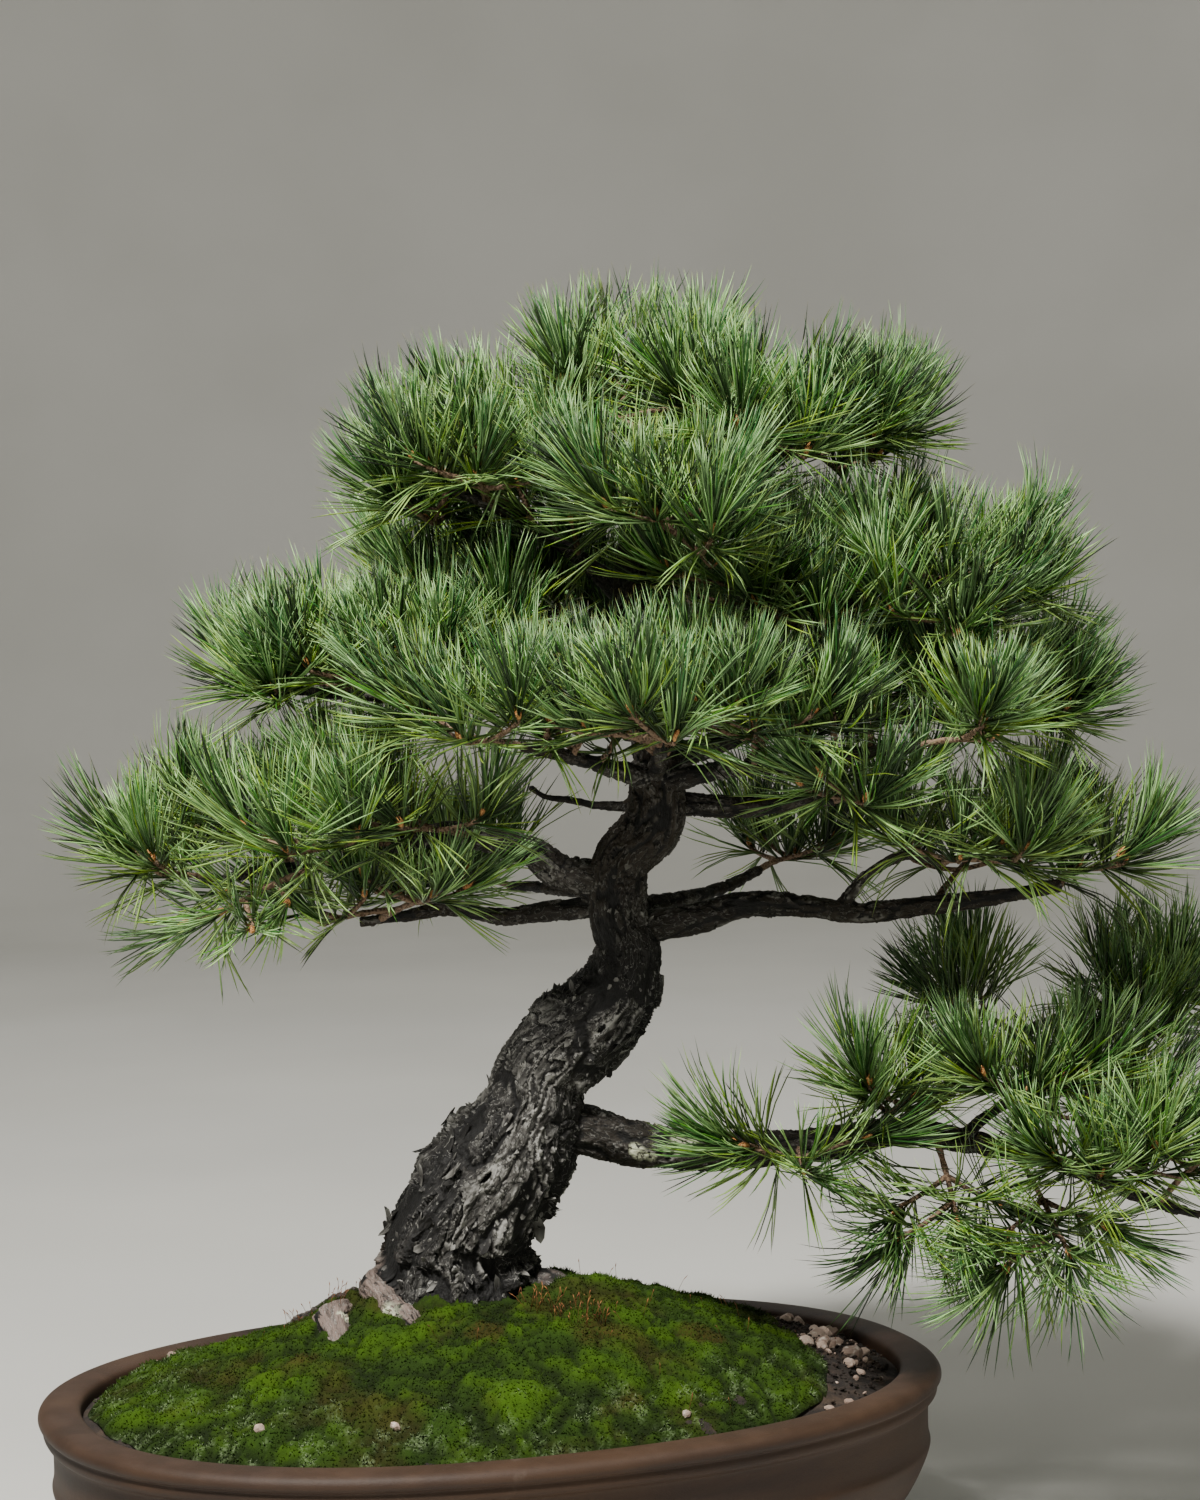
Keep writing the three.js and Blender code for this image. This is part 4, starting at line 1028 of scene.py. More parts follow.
def build_foot(middle):
    """A foot along the oval, tucked in at its two ends, that reaches a little into the pot."""
    top = POT_UNDERSIDE + FOOT_OVERLAP
    rings = []
    for step in range(FOOT_STEPS + 1):
        angle = math.radians(middle + FOOT_HALF_ANGLE * (2 * step / FOOT_STEPS - 1))
        tuck = FOOT_END_TUCK if step in (0, FOOT_STEPS) else 0
        corners = ((FOOT_OUTER_INSET + tuck, 0), (FOOT_INNER_INSET - tuck, 0),
                   (FOOT_INNER_INSET, top), (FOOT_OUTER_INSET - FOOT_OVERLAP, top))
        ring = []
        for inset, height in corners:
            x, y = oval_point(angle, inset)
            ring.append((float(x), float(y), height))
        rings.append(np.array(ring))
    foot = ring_skin(f"foot_{middle}", rings)
    apply_modifier(foot, "BEVEL", width=FOOT_ROUNDING * MM, segments=3, limit_method="ANGLE",
                   angle_limit=FOOT_CORNER)
    return foot


# ---------------------------------------------------------------- soil and grit


SOIL_SEGMENTS = 360
SOIL_UNDERSIDE = ((68.4, 24.4), (36.6, 40.4), (25, 62.4))
SOIL_SHARES = (*np.linspace(1, 0.66, 27), 0.5, 0.3)
SOIL_EDGE_DROP = 0.8
CRUMB_SPACING = 6.5


def build_soil(settings):
    """The soil down to the pot's floor, crumbly where no moss covers it."""
    rings = [oval_ring(SOIL_SEGMENTS, inset, height) for inset, height in SOIL_UNDERSIDE]
    edge_x, edge_y = oval_ring(SOIL_SEGMENTS, SOIL_INSET, 0)[:, :2].T
    for share in SOIL_SHARES:
        x = edge_x * share
        height = mound_height(share, x) - (SOIL_EDGE_DROP if share == 1 else 0)
        rings.append(np.column_stack([x, edge_y * share, height]))
    soil = ring_skin("soil_bed", rings)
    points = in_pot_mm(points_of(soil))
    share, _ = soil_share(points[:, 0], points[:, 1])
    bare = smoothstep(0.6, 0.7, share) * (points[:, 2] > SOIL_EDGE_HEIGHT - 6)
    _, near, _, mark = scattered_cells(points / CRUMB_SPACING, 31)
    crumbs = (1 - near) * 2.6 * (0.4 + mark) - 1.6
    lumps = 1.6 * rough_noise(points / 22, 2, 5)
    inside = np.minimum(1, (1 - share) / 0.02)
    points[:, 2] += bare * inside * (crumbs + lumps)
    set_points(soil, placed(points))
    smooth_faces(soil)
    return finished(soil, [soil_material(settings)], "soil", "soil")


def stone_pattern(fineness):
    """A round stone one unit in radius, to be dented and copied."""
    clear_selection()
    bpy.ops.mesh.primitive_ico_sphere_add(subdivisions=fineness, radius=1)
    return pattern_of(bpy.context.object)


def bare_places(count, seed, inner):
    """Places on the bare soil at the right end: x, y and the mound's height in mm."""
    rng = np.random.default_rng(seed)
    angle = rng.normal(0, 0.36, count)
    edge_x, edge_y = oval_point(angle, SOIL_INSET)
    start = moss_edge(angle) + inner
    share = start + (0.972 - start) * rng.random(count) ** 0.8
    x = edge_x * share
    return np.column_stack([x, edge_y * share, mound_height(share, x)])


def scattered_stones(name, pattern, places, sizes, seed):
    """Copies of a stone, each with its own size, turn and dents."""
    rng = np.random.default_rng(seed)
    base, faces = pattern
    rows = []
    for place, size in zip(places, sizes):
        turn = np.linalg.qr(rng.normal(size=(3, 3)))[0]
        turn *= np.sign(np.linalg.det(turn))
        dents = 1 + 0.3 * rng.random(len(base))[:, None] - 0.15
        shape = base * dents * np.array([1, 0.85, 0.65]) * size
        rows.append((shape @ turn.T) * np.array([1, 1, 0.85]) + place)
    stones = new_piece(name, np.vstack(rows), copied_faces(faces, len(base), len(places)), smooth=False)
    tone = np.repeat(rng.random(len(places)), len(base))
    mark_points(stones, "stone_tone", tone)
    return stones


SOLID_STONES = 14


def cad_stones():
    """The stones that the soil's solid has, as places and sizes in mm."""
    places = []
    sizes = []
    for n in range(SOLID_STONES):
        angle = (draw(n, 1) - 0.5) * 0.9
        edge_x, edge_y = oval_point(np.array(angle), SOIL_INSET)
        inner = float(moss_edge(np.array(angle))) + 0.07
        share = inner + (0.93 - inner) * draw(n, 2)
        size = 4 + 3 * draw(n, 3)
        x = float(edge_x) * share
        places.append((x, float(edge_y) * share, float(mound_height(share, x)) + 0.2 * size))
        sizes.append(size)
    return np.array(places), np.array(sizes)


STONES_ON_MOSS = ((-162, -100), (-176, 108), (-168, 96), (60, -146), (150, -132), (166, -122), (-96, -128))
MOSS_STONE_SIZE = 3.4
PILED_STONES = 17
PILE_MIDDLE = (194, -44)
PILE_SPREAD = (8, 13)


def build_grit(settings):
    """Stones on the moss, piled and scattered at the right end, and crumbs of soil between them."""
    rng = np.random.default_rng(8)
    own_places, own_sizes = cad_stones()
    x, y = np.array(STONES_ON_MOSS, float).T
    marked = np.column_stack([x, y, moss_surface(x, y, settings.cushion / MM)[0] + 0.5])
    x, y = [PILE_MIDDLE[i] + rng.normal(0, PILE_SPREAD[i], PILED_STONES) for i in (0, 1)]
    pile = np.column_stack([x, y, mound_height(soil_share(x, y)[0], x) + 1.5])
    spread = bare_places(settings.stones, 12, 0.03)
    places = np.vstack([own_places, marked, pile, spread])
    marked_sizes = np.full(len(marked), MOSS_STONE_SIZE)
    piled_sizes = 1.6 + 5.5 * rng.random(PILED_STONES) ** 2
    spread_sizes = 0.9 + 2.2 * rng.random(len(spread)) ** 2
    sizes = np.concatenate([own_sizes * 0.85, marked_sizes, piled_sizes, spread_sizes])
    stones = scattered_stones("grit_stones", stone_pattern(2), places, sizes, 3)
    finished(stones, [stone_material(settings)], "soil")
    spread = bare_places(settings.crumbs, 21, -0.03)
    sizes = 0.7 + 1.7 * rng.random(len(spread)) ** 2
    spread[:, 2] += 0.4 * sizes
    crumbs = scattered_stones("soil_crumbs", stone_pattern(1), spread, sizes, 4)
    finished(crumbs, [soil_material(settings)], "soil")


# ---------------------------------------------------------------- moss

# [x, y, reach] of the dry patches.
DRY_SPOTS = ((37, -76, 30), (26, -138, 14), (-20, -60, 16), (96, -74, 18), (60, 90, 26), (-120, -30, 16))
# [x, y, reach, rise] where the moss banks up over a root.
ROOT_BANKS = ((-80, 34, 19, 11), (-75, 3, 11, 9), (-116, 12, 22, 7), (-40, -8, 12, 6), (-72, -30, 11, 4),
              (44, 0, 21, 8), (68, -13, 17, 4))
# [x, y, spread, number] of the groups of spore stalks.
STALK_GROUPS = ((33, -62, 9, 42), (17, -40, 7, 22), (-92, 36, 13, 34), (70, -40, 60, 30))
STALK_WIDTH = 0.24
BED_FROST = 0.35
MOST_FROSTED_TIPS = 0.5
TIP_SINK = 0.3
SLOPE_STEP = 1.5


def moss_reach(angle):
    """The share of the way out at which the finished moss ends: it fills all but the right end."""
    wavy = 0.975 + 0.007 * np.sin(9 * angle) + 0.005 * np.sin(23 * angle + 2)
    return wavy + bare_end(angle, 0.255)


def cushions(points, size, salt):
    """Rounded cushions with sharp valleys between them, from 0 to 1."""
    _, near, far, mark = scattered_cells(points / size, salt)
    return (1 - np.exp(-4.5 * (far - near))) * (0.6 + 0.4 * mark) * (1 - 0.3 * near ** 2)


def moss_surface(x, y, cushion):
    """The height of the moss's top in mm and its marks: height on a cushion, frost, dryness."""
    share, angle = soil_share(x, y)
    flat = np.column_stack([x, y, np.zeros(len(x))])
    bent = flat.copy()
    for size, amount, salts in ((21, 10, (3, 4)), (7, 3, (5, 6))):
        bent[:, :2] += amount * np.column_stack([soft_noise(flat / size, salt) for salt in salts])
    big = cushions(bent, 27, 7)
    small = cushions(bent, 11, 17)
    swell = rough_noise(flat / 42, 2, 9)
    fuzz = soft_noise(flat / 2.4, 23)
    rim = np.clip((moss_reach(angle) - share) / 0.04, 0, 1) ** 0.5
    rise = 0.4 + cushion * big + 0.42 * cushion * small * (0.5 + 0.5 * big) + 2.2 * swell + 0.45 * fuzz
    for bx, by, reach, height in ROOT_BANKS:
        away = np.hypot(x - bx, y - by) / reach
        rise = rise + height * np.exp(-away ** 2)
    height = mound_height(share, x) + 0.35 + np.maximum(rise, 0.7) * rim
    patch = rough_noise(flat / 9, 3, 51)
    outer = smoothstep(0.62, 0.88, share) * smoothstep(60, -60, y + 0.5 * x)
    frost = smoothstep(-0.1, 0.7, patch + 0.5 * fuzz) * outer * smoothstep(0.25, 0.55, small)
    dry = np.zeros(len(x))
    for sx, sy, reach in DRY_SPOTS:
        away = np.hypot(x - sx, (y - sy) * 1.3) + 9 * soft_noise(flat / 12, 41)
        dry = np.maximum(dry, 1 - smoothstep(0.3 * reach, reach, away))
    # The crest feeds the material's painted shade between cushions; it is lower towards the moss's edge, so
    # the moss is painted darker there.
    crest = np.clip(0.75 * big + 0.45 * small + 0.12 * fuzz - 0.1, 0, 1) * (0.3 + 0.7 * rim)
    return height, np.column_stack([crest, frost, dry * 0.9])


def build_moss(settings, limbs):
    """A layer of moss over the mound, with its cushions, and a hole where the tree stands."""
    pitch = settings.grid / MM
    cushion = settings.cushion / MM
    reach_x = POT_LENGTH / 2 - SOIL_INSET
    reach_y = POT_WIDTH / 2 - SOIL_INSET
    clear_selection()
    bpy.ops.mesh.primitive_grid_add(x_subdivisions=round(2 * reach_x / pitch),
                                    y_subdivisions=round(2 * reach_y / pitch), size=2)
    base, faces = pattern_of(bpy.context.object)
    x = base[:, 0] * reach_x
    y = base[:, 1] * reach_y
    share, angle = soil_share(x, y)
    edge = moss_reach(angle)
    inside = share < edge
    pull = np.where(inside, 1, edge / np.maximum(share, 0.01))
    x, y, share = x * pull, y * pull, share * pull
    height, marks = moss_surface(x, y, cushion)
    top = np.column_stack([x, y, height])
    bottom = np.column_stack([x, y, mound_height(share, x) + 0.3])
    faces = np.array(faces)
    clear = straightened(top, limbs)[2] > -5
    faces = faces[inside[faces].any(axis=1) & clear[faces].all(axis=1)]
    edges = np.vstack([np.column_stack([faces[:, i], faces[:, (i + 1) % 4]]) for i in range(4)])
    keys = edges.min(axis=1) * len(top) + edges.max(axis=1)
    _, first, counts = np.unique(keys, return_index=True, return_counts=True)
    border = edges[first[counts == 1]]
    used, packed = np.unique(faces, return_inverse=True)
    packed = packed.reshape(faces.shape)
    border = np.searchsorted(used, border)
    count = len(used)
    sides = np.column_stack([border[:, 1], border[:, 0], border[:, 0] + count, border[:, 1] + count])
    points = np.vstack([top[used], bottom[used]])
    marks[:, 1] *= BED_FROST
    moss = new_piece("moss_bed", points, [packed, packed[:, ::-1] + count, sides])
    mark_points(moss, "moss_marks", np.vstack([marks[used], marks[used] * 0.3]))
    material = moss_material(settings)
    finished(moss, [material], "moss", "moss")
    build_moss_tips(settings, limbs, cushion, material)


def blade_pattern(name, corners, radii, stops):
    """A thin tapering blade one unit tall, drawn up from a small polygon and closed at its tip."""
    clear_selection()
    bpy.ops.mesh.primitive_circle_add(vertices=corners, radius=radii[0], fill_type="NGON")
    blade = bpy.context.object
    blade.name = name
    edit_all()
    heights = [0, *stops, 1]
    for i in range(1, len(heights)):
        rise = heights[i] - heights[i - 1]
        bpy.ops.mesh.extrude_region_move(TRANSFORM_OT_translate={"value": (0, 0, rise)})
        if i < len(radii):
            factor = radii[i] / radii[i - 1]
            bpy.ops.transform.resize(value=(factor, factor, 1), center_override=(0, 0, heights[i]))
    bpy.ops.mesh.merge(type="CENTER")
    face_outwards()
    return pattern_of(blade)


def grown_blades(pattern, feet, ways, bends, lengths, widths, rolls):
    """Copies of a blade: each from its foot along its way, bent over by its bend, as points in mm."""
    base = pattern[0]
    bends = bends - (bends * ways).sum(axis=1, keepdims=True) * ways
    amount = np.linalg.norm(bends, axis=1, keepdims=True)
    over = np.where(amount > 1e-6, bends / np.maximum(amount, 1e-6), unit(np.cross(ways, UP + 0.01)))
    aside = np.cross(ways, over)
    along = base[:, 2]
    c = np.cos(rolls)[:, None]
    s = np.sin(rolls)[:, None]
    x = (base[None, :, 0] * c - base[None, :, 1] * s) * widths[:, None]
    y = (base[None, :, 0] * s + base[None, :, 1] * c) * widths[:, None]
    rise = along[None, :] * lengths[:, None]
    lean = along[None, :] ** 2 * lengths[:, None] * amount
    points = feet[:, None, :] + ways[:, None, :] * rise[:, :, None]
    points = points + over[:, None, :] * (x + lean)[:, :, None] + aside[:, None, :] * y[:, :, None]
    return points.reshape(-1, 3)


def build_moss_tips(settings, limbs, cushion, material):
    """Single shoots that stand up all over the moss, and the red stalks of its spore cases."""
    rng = np.random.default_rng(5)
    count = settings.tips * 2
    x = (2 * rng.random(count) - 1) * (POT_LENGTH / 2 - SOIL_INSET)
    y = (2 * rng.random(count) - 1) * (POT_WIDTH / 2 - SOIL_INSET)
    share, angle = soil_share(x, y)
    height, marks = moss_surface(x, y, cushion)
    inside = share < moss_reach(angle) - 0.008
    inside &= straightened(np.column_stack([x, y, height]), limbs)[2] > 0.5
    picked = np.flatnonzero(inside)[:settings.tips]
    x, y, height, marks = x[picked], y[picked], height[picked], marks[picked]
    slope_x = (moss_surface(x + SLOPE_STEP, y, cushion)[0] - height) / SLOPE_STEP
    slope_y = (moss_surface(x, y + SLOPE_STEP, cushion)[0] - height) / SLOPE_STEP
    ways = unit(np.column_stack([-slope_x, -slope_y, np.ones(len(x))]) + 0.45 * rng.normal(size=(len(x), 3)))
    blade = blade_pattern("moss_tip", 3, [1.0], [])
    lengths = (1.3 + 1.5 * rng.random(len(x))) * (1 + 0.5 * marks[:, 1])
    widths = 0.34 + 0.16 * rng.random(len(x))
    feet = np.column_stack([x, y, height - TIP_SINK])
    bends = 0.2 * rng.normal(size=ways.shape)
    points = grown_blades(blade, feet, ways, bends, lengths, widths, ANY_ROLL * rng.random(len(x)))
    tips = new_piece("moss_tips", points, copied_faces(blade[1], len(blade[0]), len(x)))
    marks[:, 1] = np.minimum(2.2 * marks[:, 1], 1) * (rng.random(len(x)) < MOST_FROSTED_TIPS)
    rows = np.repeat(marks, len(blade[0]), axis=0)
    # Each tip's crest rises towards its top, so the material paints shade at the tip's foot.
    rows[:, 0] = np.clip(rows[:, 0] * 0.75 + 0.4 * np.tile(blade[0][:, 2], len(x)), 0, 1)
    mark_points(tips, "moss_marks", rows)
    finished(tips, [material], "moss")
    build_spore_stalks(cushion, rng)


def build_spore_stalks(cushion, rng):
    """Thin stalks with their spore cases, in groups that thin out."""
    places = []
    for cx, cy, reach, count in STALK_GROUPS:
        places.append(np.column_stack([cx + rng.normal(0, reach, count), cy + rng.normal(0, reach, count)]))
    spots = np.vstack(places)
    height, _ = moss_surface(spots[:, 0], spots[:, 1], cushion)
    count = len(spots)
    stalk = blade_pattern("stalk", 3, [0.6, 0.5, 1.5], [0.8, 0.9])
    ways = unit(UP + 0.22 * rng.normal(size=(count, 3)))
    feet = np.column_stack([spots, height - 1])
    bends = 0.25 * rng.normal(size=(count, 3))
    lengths = 7 + 8 * rng.random(count)
    widths = np.full(count, STALK_WIDTH)
    points = grown_blades(stalk, feet, ways, bends, lengths, widths, ANY_ROLL * rng.random(count))
    stalks = new_piece("spore_stalks", points, copied_faces(stalk[1], len(stalk[0]), count))
    finished(stalks, [spore_material()], "moss")


# ---------------------------------------------------------------- trunk, branches and roots


def taper(radii, count):
    """Radii from a branch's first to its last, thinning fastest near the start."""
    start, end = radii
    return start + (end - start) * (np.arange(count) / (count - 1)) ** 0.8


LINE_STEP = 3.0
BARE_ROOTS = (1, 2)
BARE_ROOT_WIDTH = 0.74
TRUNK_SPLIT = 11


def trunk_limbs():
    """The trunk and its roots as smooth lines of points and radii in mm."""
    return [root_or_trunk_limb(rows) for rows in (TRUNK, *ROOTS)]


def root_or_trunk_limb(rows):
    """One limb from its rows. The bare roots are a little thinner than their solids."""
    points = np.array([tree_point(row) for row in rows])
    radii = np.array([row[3] for row in rows], float)
    if rows in ROOTS[:2]:
        radii *= BARE_ROOT_WIDTH
    return smooth_line(points, radii, LINE_STEP)


def branch_limbs():
    """The branches as smooth lines of points and radii in mm."""
    limbs = []
    for radii, rows in BRANCHES.values():
        points = np.array([tree_point(row) for row in rows])
        limbs.append(smooth_line(points, taper(radii, len(rows)), LINE_STEP))
    return limbs


BATCH = 4000
LIMB_SPACING = 900


def straightened(points, limbs):
    """Each point as it would lie if its nearest limb were straight: across, over and along in mm, that
    limb's radius there, how far the point lies outside it, the limb's number, the share along it and its
    direction."""
    centres = np.vstack([line for line, _ in limbs])
    radii = np.concatenate([radius for _, radius in limbs])
    tangents, sides, runs, numbers, shares = [], [], [], [], []
    for number, (line, _) in enumerate(limbs):
        tangent = unit(np.gradient(line, axis=0))
        steps = np.linalg.norm(np.diff(line, axis=0), axis=1)
        run = np.concatenate([[0], np.cumsum(steps)])
        side = unit(np.cross(tangent[0], [0.31, 0.87, 0.39]))
        for along in tangent:
            side = unit(side - side.dot(along) * along)
            sides.append(side)
        tangents.append(tangent)
        runs.append(run)
        shares.append(run / run[-1])
        numbers.append(np.full(len(line), number))
    tangents, sides = np.vstack(tangents), np.array(sides)
    others = np.cross(tangents, sides)
    runs, numbers, shares = np.concatenate(runs), np.concatenate(numbers), np.concatenate(shares)
    rows = np.zeros((len(points), 3))
    found = np.zeros(len(points), int)
    outside = np.zeros(len(points))
    for start in range(0, len(points), BATCH):
        part = slice(start, start + BATCH)
        away = np.linalg.norm(points[part, None, :] - centres[None], axis=2) - radii
        nearest = away.argmin(axis=1)
        offset = points[part] - centres[nearest]
        found[part] = nearest
        outside[part] = away[np.arange(len(nearest)), nearest]
        rows[part, 0] = (offset * sides[nearest]).sum(axis=1)
        rows[part, 1] = (offset * others[nearest]).sum(axis=1)
        rows[part, 2] = runs[nearest] + (offset * tangents[nearest]).sum(axis=1)
    rows[:, 2] += LIMB_SPACING * numbers[found]
    return rows, radii[found], outside, numbers[found], shares[found], tangents[found]


def bark_plates(place, width, length, flakes, salt):
    """Layered bark, longer than wide: its level, the tone of its plates and the lips of its flakes."""
    bent = place / np.array([width, width, length])
    bent = bent + 0.5 * np.column_stack([soft_noise(bent * 0.8, salt + i) for i in (1, 2, 3)])
    bent = bent + 0.2 * np.column_stack([soft_noise(bent * 2.4, salt + i) for i in (4, 5, 6)])
    layers = flakes * (rough_noise(bent, 2, salt + 9) + 0.25 * soft_noise(bent * 4, salt + 12))
    step = np.floor(layers)
    part = layers - step
    crack = smoothstep(0.03, 0.24, np.abs(soft_noise(bent * 0.8, salt + 20)))
    under_lip = smoothstep(0.8, 1, part)
    # The level drops under each lip: the skin sinks there, and the material paints shade there with the
    # crack colour.
    level = crack * (0.5 + 0.13 * step + 0.42 * (1 - part) ** 1.4 - 0.3 * under_lip)
    tone = 0.5 + 0.6 * soft_noise(bent * 0.9, salt + 30) + 0.5 * (step * 0.618 % 1 - 0.5)
    return np.clip(level, -0.1, 1.25), np.clip(tone, 0, 1), smoothstep(0.34, 0.06, part) * crack


# Plates' width, length and number of layers.
BIG_PLATES = (16, 38, 1.7)
SMALL_PLATES = (7, 17, 1.9)
OLD_BARK_RADII = (13, 27)
YOUNG_BARK_HEIGHTS = (330, 420)
DEEPEST_RELIEF = 4.6
# Each patch of lichen: its place in the tree's view and its reach.
LICHEN_SPOTS = (((112, 4, 243), 11), ((86, 6, 238), 7), ((-56, -34, 154), 9), ((-34, -56, 138), 12),
                ((-84, -26, 152), 6))


def cover_with_bark(piece, limbs, settings, trunk):
    """Raises the bark's plates on a smooth skin and keeps their marks for the material."""
    metres = points_of(piece)
    normals = points_of(piece, "normal")
    points = in_pot_mm(metres)
    place, radius, _, number, share, _ = straightened(points, limbs)
    big_level, big_mark, big_flake = bark_plates(place, *BIG_PLATES, 100)
    small_level, small_mark, small_flake = bark_plates(place, *SMALL_PLATES, 200)
    old = smoothstep(*OLD_BARK_RADII, radius)
    level = old * big_level * (0.5 + 0.8 * small_level) + (1 - old) * small_level
    flake = old * np.maximum(big_flake, 0.7 * small_flake) + (1 - old) * small_flake
    mark = old * big_mark + (1 - old) * small_mark
    depth = np.minimum(0.45 + 0.085 * radius, DEEPEST_RELIEF) * settings.relief
    lumps = rough_noise(place / 34, 2, 61) * np.minimum(0.07 * radius, 3.0)
    fine = 0.3 * rough_noise(place / 3.2, 2, 71)
    push = 1.5 * depth * (level - 0.6) + lumps + fine
    height = points[:, 2]
    tree_across = points[:, 0] * math.cos(TREE_TURN) + points[:, 1] * math.sin(TREE_TURN)
    if trunk:
        bare = np.where(np.isin(number, BARE_ROOTS), 1.0, np.where(number > 0, 0.3, 0.0))
        base = smoothstep(-52, -74, tree_across) * smoothstep(205, 175, height) * (number == 0)
        pink = np.maximum(bare * smoothstep(0.05, 0.3, share), base)
        knobs = 1.5 * rough_noise(points / 9, 3, 91)
        push = np.where(number > 0, 0.8 * push + knobs, push)
        young = smoothstep(*YOUNG_BARK_HEIGHTS, height)
    else:
        pink = np.zeros(len(points))
        young = 0.55 + 0.45 * smoothstep(0.2, 0.7, share)
    lichen = np.zeros(len(points))
    for spot, reach in LICHEN_SPOTS:
        away = np.linalg.norm(points - tree_point(spot), axis=1) + 4 * soft_noise(points / 6, 81)
        lichen = np.maximum(lichen, 1 - smoothstep(0.5 * reach, reach, away))
    push += 0.7 * lichen * np.maximum(soft_noise(points / 2.4, 83) + 0.4, 0)
    set_points(piece, metres + normals * push[:, None] * MM)
    mark_points(piece, "bark_marks", np.column_stack([level, mark, flake]))
    mark_points(piece, "bark_tints", np.column_stack([pink, young, lichen]))
    mark_points(piece, "limb_place", place * MM)
    smooth_faces(piece)


def split_trunk():
    """The limbs of the trunk's lower skin, with the roots, and of its upper one. The two overlap."""
    parts = [(TRUNK[:TRUNK_SPLIT + 1], ROOTS), (TRUNK[TRUNK_SPLIT - 1:], ())]
    return [[root_or_trunk_limb(rows) for rows in (trunk, *roots)] for trunk, roots in parts]


MOST_FACES = 190000
LIMB_FINENESS = 8
BRANCH_COARSENESS = 1.3


def thin_faces(skin):
    """Keeps a skin below the most faces that a piece may have. It loses those where it is flattest."""
    triangles = sum(len(face.vertices) - 2 for face in skin.data.polygons)
    if triangles > MOST_FACES:
        apply_modifier(skin, "DECIMATE", ratio=MOST_FACES / triangles)


def build_tree(settings):
    """The trunk with its roots, and the branches, as skins of bark with loose flakes on them."""
    material = bark_material(settings)
    lower, upper = split_trunk()
    skins = []
    for name, limbs, whole, trunk in (("trunk_bark_lower", lower, trunk_limbs(), True),
                                      ("trunk_bark_upper", upper, trunk_limbs(), True),
                                      ("branch_bark", branch_limbs(), branch_limbs(), False)):
        skin = limb_tubes(name, limbs, LIMB_FINENESS)
        size = settings.fineness * (1 if trunk else BRANCH_COARSENESS)
        apply_modifier(skin, "REMESH", mode="VOXEL", voxel_size=size)
        cover_with_bark(skin, whole, settings, trunk)
        finished(skin, [material], "bark", "trunk")
        skins.append(skin)
    build_flakes(skins, settings, material)
    for skin in skins:
        thin_faces(skin)


def flake_pattern():
    """A thin uneven flake of bark one unit wide and two long, closed all round."""
    clear_selection()
    bpy.ops.mesh.primitive_circle_add(vertices=8, radius=1, fill_type="NGON")
    flake = bpy.context.object
    edit_all()
    bpy.ops.transform.resize(value=(0.5, 1, 1), center_override=(0, 0, 0))
    bpy.ops.mesh.poke(offset=0)
    bpy.ops.mesh.extrude_region_move(TRANSFORM_OT_translate={"value": (0, 0, 0.16)})
    bpy.ops.transform.resize(value=(0.8, 0.86, 1), center_override=(0, 0, 0))
    face_outwards()
    return pattern_of(flake)


LOWEST_FLAKE = 152
FLAKE_SINK = 0.9
FLAKE_SHAPE = np.array([1.3, 1.6, 0.8])


def build_flakes(skins, settings, material):
    """Loose flakes of bark that lift off the trunk at one end."""
    rng = np.random.default_rng(14)
    spots, normals = [], []
    for skin, count in zip(skins[:2], (settings.flakes, settings.flakes // 3)):
        picked = rng.integers(0, len(skin.data.vertices), count)
        spots.append(in_pot_mm(points_of(skin))[picked])
        normals.append(points_of(skin, "normal")[picked])
    spots, normals = np.vstack(spots), np.vstack(normals)
    place, radius, _, number, _, ways = straightened(spots, trunk_limbs())
    kept = (number == 0) & (spots[:, 2] > LOWEST_FLAKE)
    spots, normals, place, radius, ways = [rows[kept] for rows in (spots, normals, place, radius, ways)]
    count = len(spots)
    across = unit(np.cross(ways, normals))
    along = np.cross(normals, across)
    turn = rng.normal(0, 0.45, count)[:, None]
    side = across * np.cos(turn) + along * np.sin(turn)
    front = np.cross(normals, side) * np.sign(rng.random(count) - 0.5)[:, None]
    lift = (0.12 + 0.4 * rng.random(count) ** 2)[:, None]
    front_up = unit(front + normals * lift)
    top = np.cross(side, front_up)
    top *= np.sign((top * normals).sum(axis=1))[:, None]
    size = (2.2 + 3.4 * rng.random(count)) * np.minimum(1, 0.35 + radius / 60)
    base, faces = flake_pattern()
    uneven = base[None] * (1 + 0.5 * (rng.random((count, len(base), 1)) - 0.5))
    uneven[:, :, 2] += 0.35 * (uneven[:, :, 1] ** 2 + uneven[:, :, 0] ** 2)
    shape = uneven * size[:, None, None] * FLAKE_SHAPE
    points = spots[:, None, :] - normals[:, None, :] * FLAKE_SINK
    points = points + side[:, None, :] * shape[:, :, 0:1] + front_up[:, None, :] * shape[:, :, 1:2]
    points = (points + top[:, None, :] * shape[:, :, 2:3]).reshape(-1, 3)
    flakes = new_piece("bark_flakes", points, copied_faces(faces, len(base), count), smooth=False)
    select_only(flakes)
    bpy.ops.object.mode_set(mode="EDIT")
    face_outwards()
    tone = np.repeat(rng.random(count), len(base))
    edge = np.tile(np.minimum(np.abs(base[:, 1]), 1), count)
    young = np.repeat(smoothstep(*YOUNG_BARK_HEIGHTS, spots[:, 2]), len(base))
    none = np.zeros(len(tone))
    mark_points(flakes, "bark_marks", np.column_stack([0.5 + 0.3 * edge, tone, 0.7 * edge]))
    mark_points(flakes, "bark_tints", np.column_stack([none, young, none]))
    mark_points(flakes, "limb_place", np.repeat(place, len(base), axis=0) * MM + 0.3 * placed(points))
    finished(flakes, [material], "bark")


# ---------------------------------------------------------------- sprays of needles


